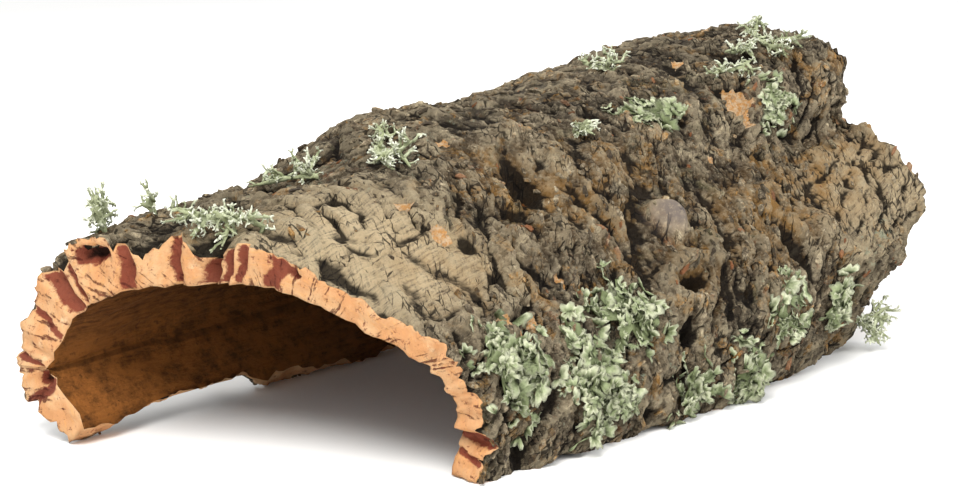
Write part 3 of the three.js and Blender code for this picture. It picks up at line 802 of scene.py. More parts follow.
def skin_material(colours):
    """Weathered outer bark: grey-brown plates, dark cracks, painted shade in every hollow of the relief,
    ochre dust with one patch of painted light, fresh cork where it is chipped.
    """
    nodes = Nodes("bark skin")
    place = nodes.object_place()
    hollow = nodes.attribute("hollow")
    colour, fine, mottle = bark_tint(nodes, colours, place)
    plate_shade = nodes.between(nodes.attribute("shade"), 0.3, 1.0, 0.0, 0.2)
    colour = nodes.mix(plate_shade, colour, colours.bark_light)
    aged = nodes.times(nodes.attribute("aged"), nodes.between(mottle, 0.62, 0.44, 0.1, 0.75))
    colour = nodes.mix(aged, colour, colours.bark_dark)

    # Hairlines: along the tunnel and with the slanting grain, much longer than wide
    fibre = nodes.noise(nodes.laid_flat((0.12, 1.0)), 0.011, 6.0, 0.7)
    grain = nodes.noise(nodes.laid_flat((1.0, 0.14)), 0.011, 6.0, 0.7)
    lines = nodes.times(grain, nodes.between(fibre, 0.2, 0.8, 0.38, 0.62))
    block = nodes.mix(nodes.between(lines, 0.16, 0.28), colours.bark_light, colours.block)
    block = nodes.mix(nodes.between(mottle, 0.5, 0.62, 0.0, 0.6), block, colours.block)
    colour = nodes.mix(nodes.times(nodes.attribute("pale"), 0.9), colour, block)
    colour = nodes.mix(nodes.between(lines, 0.215, 0.15, 0.0, 0.75), colour, colours.crack)

    # Warm dust where it gathers, with painted light in the third warm zone, and crusts of lichen too thin to
    # stand off the bark
    warm_noise = nodes.between(nodes.noise(place, 0.012, 6.0, 0.68), 0.34, 0.6)
    warm = nodes.times(nodes.attribute("warm"), warm_noise, clamp=True)
    colour = nodes.mix(nodes.times(warm, 0.85), colour, colours.ochre)
    crust_noise = nodes.noise(place, 0.005, 7.0, 0.78)
    crust_edge = nodes.plus(crust_noise, nodes.times(nodes.attribute("crust"), 0.13))
    colour = nodes.mix(nodes.between(crust_edge, 0.64, 0.7, 0.0, 0.8), colour, colours.crust)

    # Cracks are dark, edges are worn pale, and every hollow of the relief is darkened as painted shade
    splits = nodes.cracks(nodes.laid_flat((0.6, 1.6)), 0.0062)
    split_width = nodes.between(nodes.noise(place, 0.014, 3.0), 0.42, 0.66, 0.0, 0.085)
    split = nodes.between(nodes.minus(splits, split_width), 0.0, -0.045)
    colour = nodes.mix(nodes.between(hollow, 0.8, 2.4, 0.0, 0.35), colour, colours.plate)
    # Painted shade: the deeper a place lies below its surroundings, the nearer it comes to the crack colour
    colour = nodes.mix(nodes.between(hollow, -0.3, -2.1, 0.0, 0.92), colour, colours.crack)
    colour = nodes.mix(nodes.times(split, 0.85), colour, colours.crack)
    knob = nodes.attribute("knob")
    knob_tint = nodes.mix(nodes.between(fine, 0.5, 0.66, 0.0, 0.5), colours.knob, colours.bark_light)
    colour = nodes.mix(nodes.times(knob, 0.85), colour, knob_tint)

    chip_noise = nodes.minus(nodes.noise(place, 0.003, 5.0, 0.65), 0.5)
    chip_edge = nodes.plus(nodes.attribute("chip"), nodes.times(chip_noise, 2.5))
    fresh = nodes.mix(nodes.between(fine, 0.42, 0.58), colours.chip, colours.cream)
    fresh = nodes.mix(nodes.between(mottle, 0.54, 0.66, 0.0, 0.4), fresh, colours.rust)
    colour = nodes.mix(nodes.between(chip_edge, -0.1, 0.25), colour, fresh)

    height = nodes.plus(nodes.times(fine, 0.5), nodes.times(lines, 1.6))
    height = nodes.plus(height, nodes.times(mottle, 1.1))
    height = nodes.minus(height, nodes.times(split, 0.5))
    height = nodes.times(height, nodes.between(knob, 0.0, 0.8, 1.0, 0.12))
    return nodes.finish(colour, nodes.bump(height, 0.005), 0.92, 0.15)


def scale_material(colours):
    """Loose scales: the bark's own mottle, each scale with a shade of its own."""
    nodes = Nodes("bark scales")
    place = nodes.object_place()
    colour, fine, mottle = bark_tint(nodes, colours, place)
    own = nodes.attribute("shade")
    colour = nodes.mix(nodes.between(own, 0.55, 1.0, 0.0, 0.3), colour, colours.bark_light)
    colour = nodes.mix(nodes.between(own, 0.4, 0.0, 0.0, 0.7), colour, colours.bark_dark)
    rusty = nodes.between(nodes.math("FRACT", nodes.times(own, 17.0)), 0.95, 0.98, 0.0, 0.6)
    colour = nodes.mix(rusty, colour, colours.rust)
    return nodes.finish(colour, nodes.bump(fine, 0.0018), 0.92, 0.15)


def cork_material(colours):
    """Sawn and broken cork: orange-tan, with dark red pores that run through the wall, painted shade at the
    deepest of the grooves and in the hollows of the sawn face, and darker towards the broken back and low on
    the right foot.
    """
    nodes = Nodes("cut cork")
    place = nodes.object_place()
    soft = nodes.noise(place, 0.016, 6.0, 0.62, 0.3)
    colour = nodes.mix(nodes.between(soft, 0.36, 0.64), colours.cork, colours.cork_pale)
    rings = nodes.noise(nodes.laid_flat((4.0, 0.5)), 0.0028, 5.0, 0.65)
    colour = nodes.mix(nodes.between(rings, 0.5, 0.68, 0.0, 0.55), colour, colours.chip)
    cream = nodes.noise(place, 0.009, 6.0, 0.7)
    colour = nodes.mix(nodes.between(cream, 0.58, 0.7, 0.0, 0.6), colour, colours.cream)
    pit = nodes.noise(place, 0.0028, 6.0, 0.75)
    streak = nodes.noise(nodes.laid_flat((0.6, 5.0)), 0.006, 5.0, 0.65, 0.2)
    ragged = nodes.plus(streak, nodes.times(nodes.minus(pit, 0.5), 0.5))
    colour = nodes.mix(nodes.between(ragged, 0.56, 0.66, 0.0, 0.75), colour, colours.pore)
    colour = nodes.mix(nodes.between(pit, 0.56, 0.66, 0.0, 0.7), colour, colours.pore)
    frayed = nodes.times(nodes.minus(pit, 0.5), 1.2)
    groove = nodes.plus(nodes.attribute("groove"), frayed)
    colour = nodes.mix(nodes.between(groove, 0.14, 0.5, 0.0, 0.92), colour, colours.pore)
    # Painted shade: near black at the deepest of the grooves and in the hollows of the sawn face
    colour = nodes.mix(nodes.between(groove, 0.85, 1.5, 0.0, 0.9), colour, colours.crack)
    # Darker towards the broken back, and low on the right foot's edge
    spotted = nodes.minus(nodes.noise(place, 0.006, 6.0, 0.72), 0.5)
    grime = nodes.plus(nodes.attribute("grime"), spotted)
    colour = nodes.mix(nodes.between(grime, 0.4, 0.7, 0.0, 0.85), colour, colours.bark_dark)
    height = nodes.minus(nodes.times(rings, 0.5), nodes.times(pit, 0.9))
    height = nodes.minus(height, nodes.between(ragged, 0.58, 0.7))
    return nodes.finish(colour, nodes.bump(height, 0.0016), 0.85, 0.2)


def inside_material(colours):
    """The tunnel's wall: brown inner bark with a painted pool of light low on the left near the mouth, and
    dark spots.
    """
    nodes = Nodes("inner bark")
    place = nodes.object_place()
    fibre = nodes.noise(nodes.laid_flat((1.0, 0.2)), 0.012, 7.0, 0.72, 0.4)
    colour = nodes.mix(nodes.between(fibre, 0.36, 0.62), colours.inner_dark, colours.inner)
    # Painted light: a lighter, warmer patch of the wall low on the left near the mouth, where light comes in
    bloom = nodes.noise(place, 0.01, 7.0, 0.74)
    bloom = nodes.times(nodes.between(bloom, 0.36, 0.6), nodes.attribute("bloom"), clamp=True)
    colour = nodes.mix(bloom, colour, colours.inner_warm)
    spot = nodes.noise(place, 0.0045, 7.0, 0.76)
    colour = nodes.mix(nodes.between(spot, 0.56, 0.7, 0.0, 0.75), colour, colours.crack)
    colour = nodes.mix(nodes.between(spot, 0.42, 0.32, 0.0, 0.4), colour, colours.inner_warm)
    height = nodes.plus(spot, nodes.times(fibre, 0.8))
    return nodes.finish(colour, nodes.bump(height, 0.0026), 0.93, 0.12)


def lichen_material(name, body, tip, under):
    """Dry lichen: matt, paler at the lifted edges, each leaf or twig with a shade of its own, and the solid
    body between them darkened as painted shade.
    """
    nodes = Nodes(name)
    place = nodes.object_place()
    patch = nodes.noise(place, 0.006, 6.0, 0.68)
    colour = nodes.mix(nodes.between(patch, 0.36, 0.62), under, body)
    own = nodes.attribute("shade")
    edge = nodes.plus(nodes.attribute("edge"), nodes.times(own, 0.5))
    colour = nodes.mix(nodes.between(edge, 0.5, 1.4, 0.0, 0.9), colour, tip)
    # Leaves and twigs with a low value are deeper in tone; the solid body, which has no value, takes 0.6 of
    # the deep colour as painted shade in the gaps between them
    colour = nodes.mix(nodes.between(own, 0.25, 0.0, 0.0, 0.6), colour, under)
    grain = nodes.noise(place, 0.0011, 5.0, 0.7)
    colour = nodes.mix(nodes.between(grain, 0.56, 0.72, 0.0, 0.45), colour, under)
    return nodes.finish(colour, nodes.bump(grain, 0.0006), 0.9, 0.15)


def floor_material(colour):
    nodes = Nodes("pale floor")
    soft = nodes.noise(nodes.object_place(), 0.4, 2.0)
    tint = nodes.mix(nodes.between(soft, 0.3, 0.7, 0.0, 0.04), colour, (0.85, 0.85, 0.85))
    return nodes.finish(tint, None, 0.9, 0.1)


# Geometry Nodes: shapes strewn over a surface


def strewing_tree(name):
    """A node tree that strews copies of a collection's shapes over a surface and gives them a material."""
    tree = bpy.data.node_groups.new(name, "GeometryNodeTree")
    sockets = (
        ("Surface", "NodeSocketGeometry"),
        ("Shapes", "NodeSocketCollection"),
        ("Spacing", "NodeSocketFloat"),
        ("Density", "NodeSocketFloat"),
        ("Smallest", "NodeSocketFloat"),
        ("Largest", "NodeSocketFloat"),
        ("Tilt", "NodeSocketFloat"),
        ("Spin", "NodeSocketFloat"),
        ("Seed", "NodeSocketInt"),
        ("Material", "NodeSocketMaterial"),
    )
    for label, kind in sockets:
        tree.interface.new_socket(label, in_out="INPUT", socket_type=kind)
    tree.interface.new_socket("Result", in_out="OUTPUT", socket_type="NodeSocketGeometry")
    given = tree.nodes.new("NodeGroupInput").outputs

    def add(kind, inputs=None, **settings):
        node = tree.nodes.new(kind)
        for label, value in settings.items():
            setattr(node, label, value)
        for label, value in (inputs or {}).items():
            if isinstance(value, bpy.types.NodeSocket):
                tree.links.new(value, node.inputs[label])
            else:
                node.inputs[label].default_value = value
        return node

    def either_way(amount):
        return add("ShaderNodeMath", {0: amount, 1: -1.0}, operation="MULTIPLY").outputs[0]

    # Points on the surface, thinned by its strewn attribute, each turned to the surface and to the grain
    weight = add("GeometryNodeInputNamedAttribute", {"Name": "strewn"}, data_type="FLOAT")
    scatter = add(
        "GeometryNodeDistributePointsOnFaces",
        {
            "Mesh": given["Surface"],
            "Distance Min": given["Spacing"],
            "Density Max": given["Density"],
            "Density Factor": weight.outputs["Attribute"],
            "Seed": given["Seed"],
        },
        distribute_method="POISSON",
    )
    grain = add("GeometryNodeInputNamedAttribute", {"Name": "grain"}, data_type="FLOAT_VECTOR")
    aligned = add(
        "FunctionNodeAlignRotationToVector",
        {"Rotation": scatter.outputs["Rotation"], "Vector": grain.outputs["Attribute"]},
        axis="X",
        pivot_axis="Z",
    )
    low_tilt, low_spin = either_way(given["Tilt"]), either_way(given["Spin"])
    low = add("ShaderNodeCombineXYZ", {"X": low_tilt, "Y": low_tilt, "Z": low_spin})
    high = add("ShaderNodeCombineXYZ", {"X": given["Tilt"], "Y": given["Tilt"], "Z": given["Spin"]})
    turn = add(
        "FunctionNodeRandomValue",
        {0: low.outputs[0], 1: high.outputs[0], "Seed": given["Seed"]},
        data_type="FLOAT_VECTOR",
    )
    as_rotation = add("FunctionNodeEulerToRotation", {0: turn.outputs[0]})
    rotate = add(
        "FunctionNodeRotateRotation",
        {0: aligned.outputs[0], 1: as_rotation.outputs[0]},
        rotation_space="LOCAL",
    )

    # Small ones are more common than large ones
    draw = add("FunctionNodeRandomValue", {2: 0.0, 3: 1.0, "Seed": given["Seed"]}, data_type="FLOAT")
    skewed = add("ShaderNodeMath", {0: draw.outputs[1], 1: 2.0}, operation="POWER")
    size = add(
        "ShaderNodeMapRange",
        {"Value": skewed.outputs[0], "To Min": given["Smallest"], "To Max": given["Largest"]},
    )
    shapes = add("GeometryNodeCollectionInfo", {"Collection": given["Shapes"]})
    shapes.inputs["Separate Children"].default_value = True
    shapes.inputs["Reset Children"].default_value = True
    placed = add(
        "GeometryNodeInstanceOnPoints",
        {
            "Points": scatter.outputs["Points"],
            "Instance": shapes.outputs[0],
            "Pick Instance": True,
            "Rotation": rotate.outputs[0],
            "Scale": size.outputs[0],
        },
    )
    shade_seed = add("ShaderNodeMath", {0: given["Seed"], 1: 100.0}, operation="ADD")
    shade = add(
        "FunctionNodeRandomValue",
        {2: 0.0, 3: 1.0, "Seed": shade_seed.outputs[0]},
        data_type="FLOAT",
    )
    shaded = add(
        "GeometryNodeStoreNamedAttribute",
        {"Geometry": placed.outputs[0], "Name": "shade", "Value": shade.outputs[1]},
        data_type="FLOAT",
        domain="INSTANCE",
    )
    fixed = add("GeometryNodeRealizeInstances", {"Geometry": shaded.outputs[0]})
    painted = add("GeometryNodeSetMaterial", {"Geometry": fixed.outputs[0], "Material": given["Material"]})
    add("NodeGroupOutput", {0: painted.outputs[0]})
    return tree


def strewn(name, surface, tree, values):
    """The mesh that the tree makes over a surface. The surface's object is used up."""
    modifier = surface.modifiers.new("strew", "NODES")
    modifier.node_group = tree
    for item in tree.interface.items_tree:
        if item.in_out == "INPUT" and item.name in values:
            modifier[item.identifier] = values[item.name]
    bpy.context.view_layer.update()
    ready = surface.evaluated_get(bpy.context.evaluated_depsgraph_get())
    mesh = bpy.data.meshes.new_from_object(ready)
    mesh.name = name
    surface.modifiers.remove(modifier)
    discard(surface)
    if len(mesh.polygons) == 0:
        raise RuntimeError(f"nothing was strewn for {name}")
    return mesh


def discard(holder):
    mesh = holder.data
    bpy.data.objects.remove(holder)
    bpy.data.meshes.remove(mesh)


def shape_box(name, meshes):
    """A collection of shapes to strew. They aren't shown."""
    box = bpy.data.collections.new(name)
    for mesh in meshes:
        box.objects.link(bpy.data.objects.new(mesh.name, mesh))
    return box


def empty_box(box):
    for shape in list(box.objects):
        discard(shape)
    bpy.data.collections.remove(box)


# Shapes of the lichens and of loose bark, about one unit across


def leaf_mesh(name, seed):
    """A lobed leaf that fans out from its foot and curls up at the edge, thin and closed."""
    draw = np.random.default_rng(seed)
    lobes = int(draw.integers(3, 6))
    spokes = 3 * lobes + 1
    phase = np.arange(spokes) / 3
    angles = (phase / lobes - 0.5) * math.radians(draw.uniform(130, 210))
    lobe = np.minimum(phase.astype(int), lobes - 1)
    reach = draw.uniform(0.65, 1.05, lobes)[lobe] * (0.7 + 0.3 * np.sqrt(np.abs(np.sin(np.pi * phase))))
    lift = draw.uniform(0.04, 0.28, lobes)[lobe] + draw.uniform(-0.08, 0.08, spokes)
    across = np.stack([np.cos(angles), np.sin(angles)], axis=-1)
    foot = np.array([[-0.3, 0, 0]])

    def ring(share, rise):
        return np.column_stack([across * (share * reach)[:, None] - (0.3, 0), rise])

    middle = ring(0.55, 0.1 + 0.25 * lift + draw.uniform(-0.04, 0.04, spokes))
    edge = ring(1.0, lift + 0.05)
    points = np.concatenate([foot, middle, edge, middle - (0, 0, 0.07)])
    top, rim, under = (1 + k * spokes for k in range(3))
    faces = []
    for k in range(spokes - 1):
        faces.append((0, top + k, top + k + 1))
        faces.append((top + k, rim + k, rim + k + 1, top + k + 1))
        faces.append((0, under + k + 1, under + k))
        faces.append((under + k, under + k + 1, rim + k + 1, rim + k))
    last = spokes - 1
    faces.extend([(0, under, top), (top, under, rim)])
    faces.extend([(0, top + last, under + last), (top + last, rim + last, under + last)])
    mesh = new_mesh(name, points.tolist(), faces)
    edges = [[0], np.full(spokes, 0.4), np.ones(spokes), np.zeros(spokes)]
    give_attribute(mesh, "edge", np.concatenate(edges))
    smooth_shading(mesh)
    return mesh


def twig_mesh(name, seed):
    """A strap that rises and forks twice, one unit tall, three-sided in section."""
    draw = np.random.default_rng(seed)
    points, faces, edges = [], [], []

    def strap(start, way, length, width, fork):
        side = unit(np.cross(way, draw.normal(size=3)))
        up = np.cross(side, way)
        place, heading = start, way
        rings = []
        for k in range(3):
            taper = width * (1 - 0.2 * k)
            rings.append(list(range(len(points), len(points) + 3)))
            for corner in (side, 0.6 * up - 0.3 * side, -0.6 * up - 0.6 * side):
                points.append((place + taper * corner).tolist())
                edges.append(min(1.0, 0.4 * fork + 0.1 * k))
            heading = unit(heading + 0.3 * draw.normal(size=3))
            if k < 2:
                place = place + heading * length / 2
        for low, high in zip(rings, rings[1:]):
            faces.extend((low[c], low[(c + 1) % 3], high[(c + 1) % 3], high[c]) for c in range(3))
        faces.append(tuple(rings[0][::-1]))
        faces.append(tuple(rings[-1]))
        if fork < 2:
            for turn in (-1, 1):
                branch = unit(heading + turn * side * draw.uniform(0.4, 0.9) + 0.2 * draw.normal(size=3))
                strap(place - 0.12 * length * heading, branch, length * 0.7, width * 0.75, fork + 1)

    strap(np.zeros(3), np.array([0.0, 0.0, 1.0]), 0.45, 0.15, 0)
    mesh = new_mesh(name, points, faces)
    give_attribute(mesh, "edge", edges)
    smooth_shading(mesh)
    return mesh


def flake_mesh(name, seed):
    """A loose scale of bark: a flat, uneven scrap with broken edges, longer than wide, closed."""
    draw = np.random.default_rng(seed)
    sides = 7
    angles = (np.arange(sides) + draw.uniform(-0.35, 0.35, sides)) / sides * 2 * math.pi
    reach = draw.uniform(0.3, 0.6, sides)
    narrow = draw.uniform(0.22, 0.5)
    points = []
    for share, height in ((1.05, -0.16), (1.0, 0.05), (0.62, 0.12)):
        for k in range(sides):
            x, y = share * reach[k] * math.cos(angles[k]), share * reach[k] * math.sin(angles[k]) * narrow
            points.append((x, y, height + draw.uniform(-0.04, 0.04)))
    points.append((0, 0, 0.12 + draw.uniform(-0.05, 0.05)))
    faces = [tuple(range(sides))[::-1]]
    for ring in range(2):
        low, high = ring * sides, (ring + 1) * sides
        for k in range(sides):
            after = (k + 1) % sides
            faces.append((low + k, low + after, high + after, high + k))
    faces.extend((2 * sides + k, 2 * sides + (k + 1) % sides, 3 * sides) for k in range(sides))
    return new_mesh(name, points, faces)


# Lichens


def lichen_names(leafy):
    lichens = [node for node in sorted(frame["nodes"]) if node.startswith("lichen")]
    return [node for node in lichens if node.startswith("lichen_leaf") == leafy]


def softened_solid(node, voxel, rounds, swell):
    """The node's own solid with rounded forms, swollen a little, as a mesh in the frame."""
    copy = frame["nodes"][node].data.copy()
    copy.materials.clear()
    holder = shown("softening", copy)
    weld = holder.modifiers.new("weld", "WELD")
    weld.merge_threshold = 0.00001
    remesh = holder.modifiers.new("round", "REMESH")
    remesh.mode = "VOXEL"
    remesh.voxel_size = voxel
    smooth = holder.modifiers.new("smooth", "SMOOTH")
    smooth.iterations = rounds
    smooth.factor = 0.5
    bpy.context.view_layer.update()
    mesh = bpy.data.meshes.new_from_object(holder.evaluated_get(bpy.context.evaluated_depsgraph_get()))
    discard(holder)
    for vertex, normal in zip(mesh.vertices, [n.vector.copy() for n in mesh.vertex_normals]):
        vertex.co += swell * normal
    return mesh


def outer_bed(mesh, bark_tree, least, patchy):
    """The faces of a lichen that look away from the bark, as an object to strew on."""
    points = [vertex.co.copy() for vertex in mesh.vertices]
    faces = []
    for polygon in mesh.polygons:
        normal = bark_tree.find_nearest(polygon.center)[1]
        if polygon.normal.dot(normal) > least:
            faces.append(tuple(polygon.vertices))
    used = sorted({n for face in faces for n in face})
    renumber = {n: k for k, n in enumerate(used)}
    places = np.array([points[n] for n in used])
    bed = new_mesh("bed", places.tolist(), [tuple(renumber[n] for n in face) for face in faces])
    gaps = ease(-0.6, 0.0, lumps(places / MM, 7, 17))
    give_attribute(bed, "strewn", gaps if patchy else np.ones(len(used)))
    return shown("bed", bed)


def skin_grid():
    """The places of the bark's skin, as rows around by columns along."""
    bark = bpy.data.objects["cork_bark_skin"].data
    rows, columns = STEPS["around"] + 1, STEPS["along"] + 1
    places = np.zeros(3 * len(bark.vertices))
    bark.vertices.foreach_get("co", places)
    return places.reshape(-1, 3)[: rows * columns].reshape(rows, columns, 3)


def skirt_bed(mesh, reach):
    """The bark beside a lichen, as an object to strew on, patchy and thinning out away from the lichen."""
    grid = skin_grid()
    corners = [vertex.co for vertex in mesh.vertices]
    tree = BVHTree.FromPolygons(corners, [tuple(polygon.vertices) for polygon in mesh.polygons])
    flat = grid.reshape(-1, 3)
    away = np.full(len(flat), 1.0)
    low, high = np.min(corners, axis=0) - reach, np.max(corners, axis=0) + reach
    for number in np.flatnonzero(((flat > low) & (flat < high)).all(axis=1)):
        away[number] = tree.find_nearest(Vector(flat[number]))[3]
    near = (away < reach).reshape(grid.shape[:2])
    patchy = ease(-0.15, 0.35, lumps(grid / MM, 9, 15)) * (1 - away.reshape(near.shape) / reach)
    numbers = np.arange(near.size).reshape(near.shape)
    corners = cell_corners(numbers)
    faces = np.stack(corners, axis=-1)[near[:-1, :-1]]
    used, renumbered = np.unique(faces, return_inverse=True)
    bed = new_mesh("bed", flat[used].tolist(), renumbered.reshape(-1, 4).tolist())
    give_attribute(bed, "strewn", np.clip(0.6 * patchy, 0, 1).reshape(-1)[used])
    return shown("bed", bed)


def joined(name, meshes):
    """Several meshes as one, with the values that their material reads."""
    points, faces, start = [], [], 0
    values = {"edge": [], "shade": []}
    for mesh in meshes:
        points.extend(vertex.co.copy() for vertex in mesh.vertices)
        faces.extend(tuple(n + start for n in polygon.vertices) for polygon in mesh.polygons)
        # A mesh without these values, such as a lichen's solid body, reads 0, which its material paints as
        # shade
        for label, gathered in values.items():
            gathered.append(read_attribute(mesh, label))
        start += len(mesh.vertices)
    for mesh in meshes:
        bpy.data.meshes.remove(mesh)
    whole = new_mesh(name, points, faces)
    for label, gathered in values.items():
        give_attribute(whole, label, np.concatenate(gathered))
    smooth_shading(whole)
    return whole


def settle(piece, node):
    """Keeps a piece above the floor, makes it move with the root body, and hides the solid it stands for if
    one is given.
    """
    for vertex in piece.data.vertices:
        vertex.co.z = max(vertex.co.z, LOWEST)
    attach(piece, "root")
    if node:
        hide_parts(node)


# Sizes and colours that can be changed


def length_property(name, text, value):
    return bpy.props.FloatProperty(
        name=name, description=text, default=value, subtype="DISTANCE", unit="LENGTH"
    )


def number_property(name, text, value):
    return bpy.props.FloatProperty(name=name, description=text, default=value)


def colour_property(name, text, red, green, blue):
    return bpy.props.FloatVectorProperty(
        name=name, description=text, default=linear(red, green, blue), subtype="COLOR", min=0, max=1
    )


class CorkBarkRelief(bpy.types.PropertyGroup):
    """Heights of the bark's relief, and sizes of its loose scales"""

    plate_step: number_property("Plate Step", "Height of the steps between layers of bark, in mm", 1.1)
    crack_depth: number_property("Crack Depth", "Depth of the cracks between plates, in mm", 5.2)
    crumb_height: number_property("Crumb Height", "Height of the crumbled surface, in mm", 0.8)
    scale_spacing: length_property("Scale Spacing", "Least distance between loose scales of bark", 0.0028)
    scale_smallest: length_property("Smallest Scale", "Length of the smallest loose scale", 0.0022)
    scale_largest: length_property("Largest Scale", "Length of the largest loose scale", 0.0075)


class CorkBarkColours(bpy.types.PropertyGroup):
    """Colours of the bark and the cork"""

    bark: colour_property("Bark", "Weathered bark", 110, 96, 76)
    bark_dark: colour_property("Dark Bark", "Older, darker bark", 60, 52, 43)
    bark_light: colour_property("Light Bark", "Paler bark", 150, 137, 114)
    plate: colour_property("Worn Bark", "Worn ridges and flecks of the bark", 198, 182, 150)
    block: colour_property("Pale Blocks", "Pale blocks of bark behind the mouth", 226, 203, 163)
    # This colour is also painted as shade in the hollows of the skin and at the deepest of the sawn face's
    # grooves and hollows
    crack: colour_property("Cracks", "Bottom of the cracks", 26, 20, 15)
    ochre: colour_property("Ochre", "Warm dust in the hollows", 164, 122, 64)
    rust: colour_property("Rust", "Rusty brown of freshly broken bark", 142, 86, 50)
    moss: colour_property("Moss", "Green film of algae", 98, 97, 66)
    crust: colour_property("Crust", "Thin crusts of lichen", 158, 166, 142)
    knob: colour_property("Knob", "Smooth grey knob", 88, 81, 80)
    cork: colour_property("Cork", "Fresh cork", 206, 150, 102)
    cork_pale: colour_property("Pale Cork", "Paler fresh cork", 216, 174, 130)
    cream: colour_property("Cream Cork", "Palest parts of the cut", 230, 200, 162)
    chip: colour_property("Chip", "Deeper orange of broken cork", 222, 164, 100)
    pore: colour_property("Pores", "Dark red pores through the cork", 118, 48, 36)
    inner: colour_property("Inner Wall", "Brown wall of the tunnel", 120, 74, 34)
    inner_dark: colour_property("Dark Inner Wall", "Darker parts of the tunnel's wall", 76, 46, 20)
    # Also the colour of the painted pool of light low on the left inside, near the mouth
    inner_warm: colour_property("Warm Inner Wall", "Orange bloom near the left foot", 154, 96, 44)


class CorkLichenSettings(bpy.types.PropertyGroup):
    """Sizes and colours of the lichens"""

    leaf_spacing: length_property("Leaf Spacing", "Least distance between leaves", 0.0022)
    leaf_smallest: length_property("Smallest Leaf", "Width of the smallest leaf", 0.0032)
    leaf_largest: length_property("Largest Leaf", "Width of the largest leaf", 0.0085)
    twig_spacing: length_property("Twig Spacing", "Least distance between twigs", 0.0017)
    twig_smallest: length_property("Smallest Twig", "Length of the smallest twig", 0.004)
    twig_largest: length_property("Largest Twig", "Length of the largest twig", 0.01)
    green: colour_property("Green", "Body of the leafy lichen", 150, 160, 122)
    green_deep: colour_property("Deep Green", "Shaded parts of the leafy lichen", 92, 100, 68)
    pale: colour_property("Pale", "Edges of the leafy lichen", 206, 208, 178)
    straw: colour_property("Straw", "Body of the shrubby lichen", 192, 198, 166)
    straw_deep: colour_property("Deep Straw", "Shaded parts of the shrubby lichen", 140, 146, 110)
    white: colour_property("Whitish", "Tips of the shrubby lichen", 230, 232, 214)


class CorkStageSettings(bpy.types.PropertyGroup):
    """Floor, lights and camera"""

    floor: colour_property("Floor", "Pale floor", 246, 246, 245)
    floor_half: length_property("Half Floor", "Half the floor's width", 6.0)
    key: number_property("Key", "Power of the main light in watts", 20)
    fill: number_property("Fill", "Power of the second light in watts", 9)
    sky: number_property("Sky", "Strength of the light from all round", 0.95)


# Operators


class CORK_OT_bark(bpy.types.Operator):
    """Makes the bark slab itself over its solid"""

    bl_idname = "cork.bark"
    bl_label = "Bark Slab"

    def execute(self, context):
        scene = context.scene
        surface, skin, facts, laid, mouth = bark_mesh(scene.cork_relief)
        points = to_frame(np.concatenate(surface.points))
        mesh = new_mesh("cork_bark_skin", points.tolist(), surface.faces)
        if len(mesh.polygons) != len(surface.faces):
            raise RuntimeError("the bark's mesh lost faces")
        colours = scene.cork_colours
        for material in (skin_material(colours), cork_material(colours), inside_material(colours)):
            mesh.materials.append(material)
        mesh.polygons.foreach_set("material_index", surface.kinds)
        smooth_shading(mesh)
        self.lay_flat(mesh, points, surface.kinds, laid)
        skin_count = skin.shape[0] * skin.shape[1]
        for name, values in facts.items():
            whole = np.zeros(len(points))
            whole[:skin_count] = values.reshape(-1)
            give_attribute(mesh, name, whole)
        self.tint_wall(mesh, points, mouth)
        settle(shown("cork_bark_skin", mesh), "cork_bark")
        return {"FINISHED"}

    def lay_flat(self, mesh, points, kinds, laid):
        """A place on the surface, in metres, for every corner: along and around, or across the wall."""
        size = laid.shape[0] * laid.shape[1]
        height = points[:, 2] - 0.03
        side = SHIFT[1] - points[:, 1]
        angle = 0.1 * np.arctan2(height, side)
        first, second = points[:, 0].copy(), angle.copy()
        first[:size] = laid[..., 0].reshape(-1) * MM
        second[:size] = laid[..., 1].reshape(-1) * MM
        loops = np.zeros(len(mesh.loops), dtype=np.int64)
        mesh.loops.foreach_get("vertex_index", loops)
        totals = np.zeros(len(mesh.polygons), dtype=np.int64)
        mesh.polygons.foreach_get("loop_total", totals)
        cut = np.repeat(np.array(kinds), totals) == CUT
        places = np.zeros((len(loops), 2), dtype=np.float32)
        places[:, 0] = np.where(cut, angle[loops], first[loops])
        places[:, 1] = np.where(cut, np.hypot(side, height)[loops], second[loops])
        layer = mesh.uv_layers.new(name="laid flat")
        layer.data.foreach_set("uv", places.reshape(-1))

    def tint_wall(self, mesh, points, mouth):
        """A painted pool of light low on the left inside near the mouth, dark grooves in the mouth, and
        darker cork towards the broken back and low on the right foot.
        """
        x, y, z = ((points - SHIFT) / MM).T
        # Painted light: where light comes in low on the left, near the mouth, fading deeper into the tunnel
        give_attribute(mesh, "bloom", ease(10, 75, y) * (1 - ease(22, 58, z)) * (1 - ease(60, 240, x)))
        v = np.linspace(0, 1, STEPS["around"] + 1)
        across = (np.arange(1, STEPS["across"]) / STEPS["across"])[:, None]
        groove = np.zeros(len(points))
        groove[mouth] = groove_share(v[None, :], across)[0]
        give_attribute(mesh, "groove", groove)
        # Darker towards the broken back, and low along the right foot near the ground
        grime = 0.5 * ease(240, 330, x) + 0.25 * (y < 0) * (1 - ease(0, 10, z))
        give_attribute(mesh, "grime", grime)


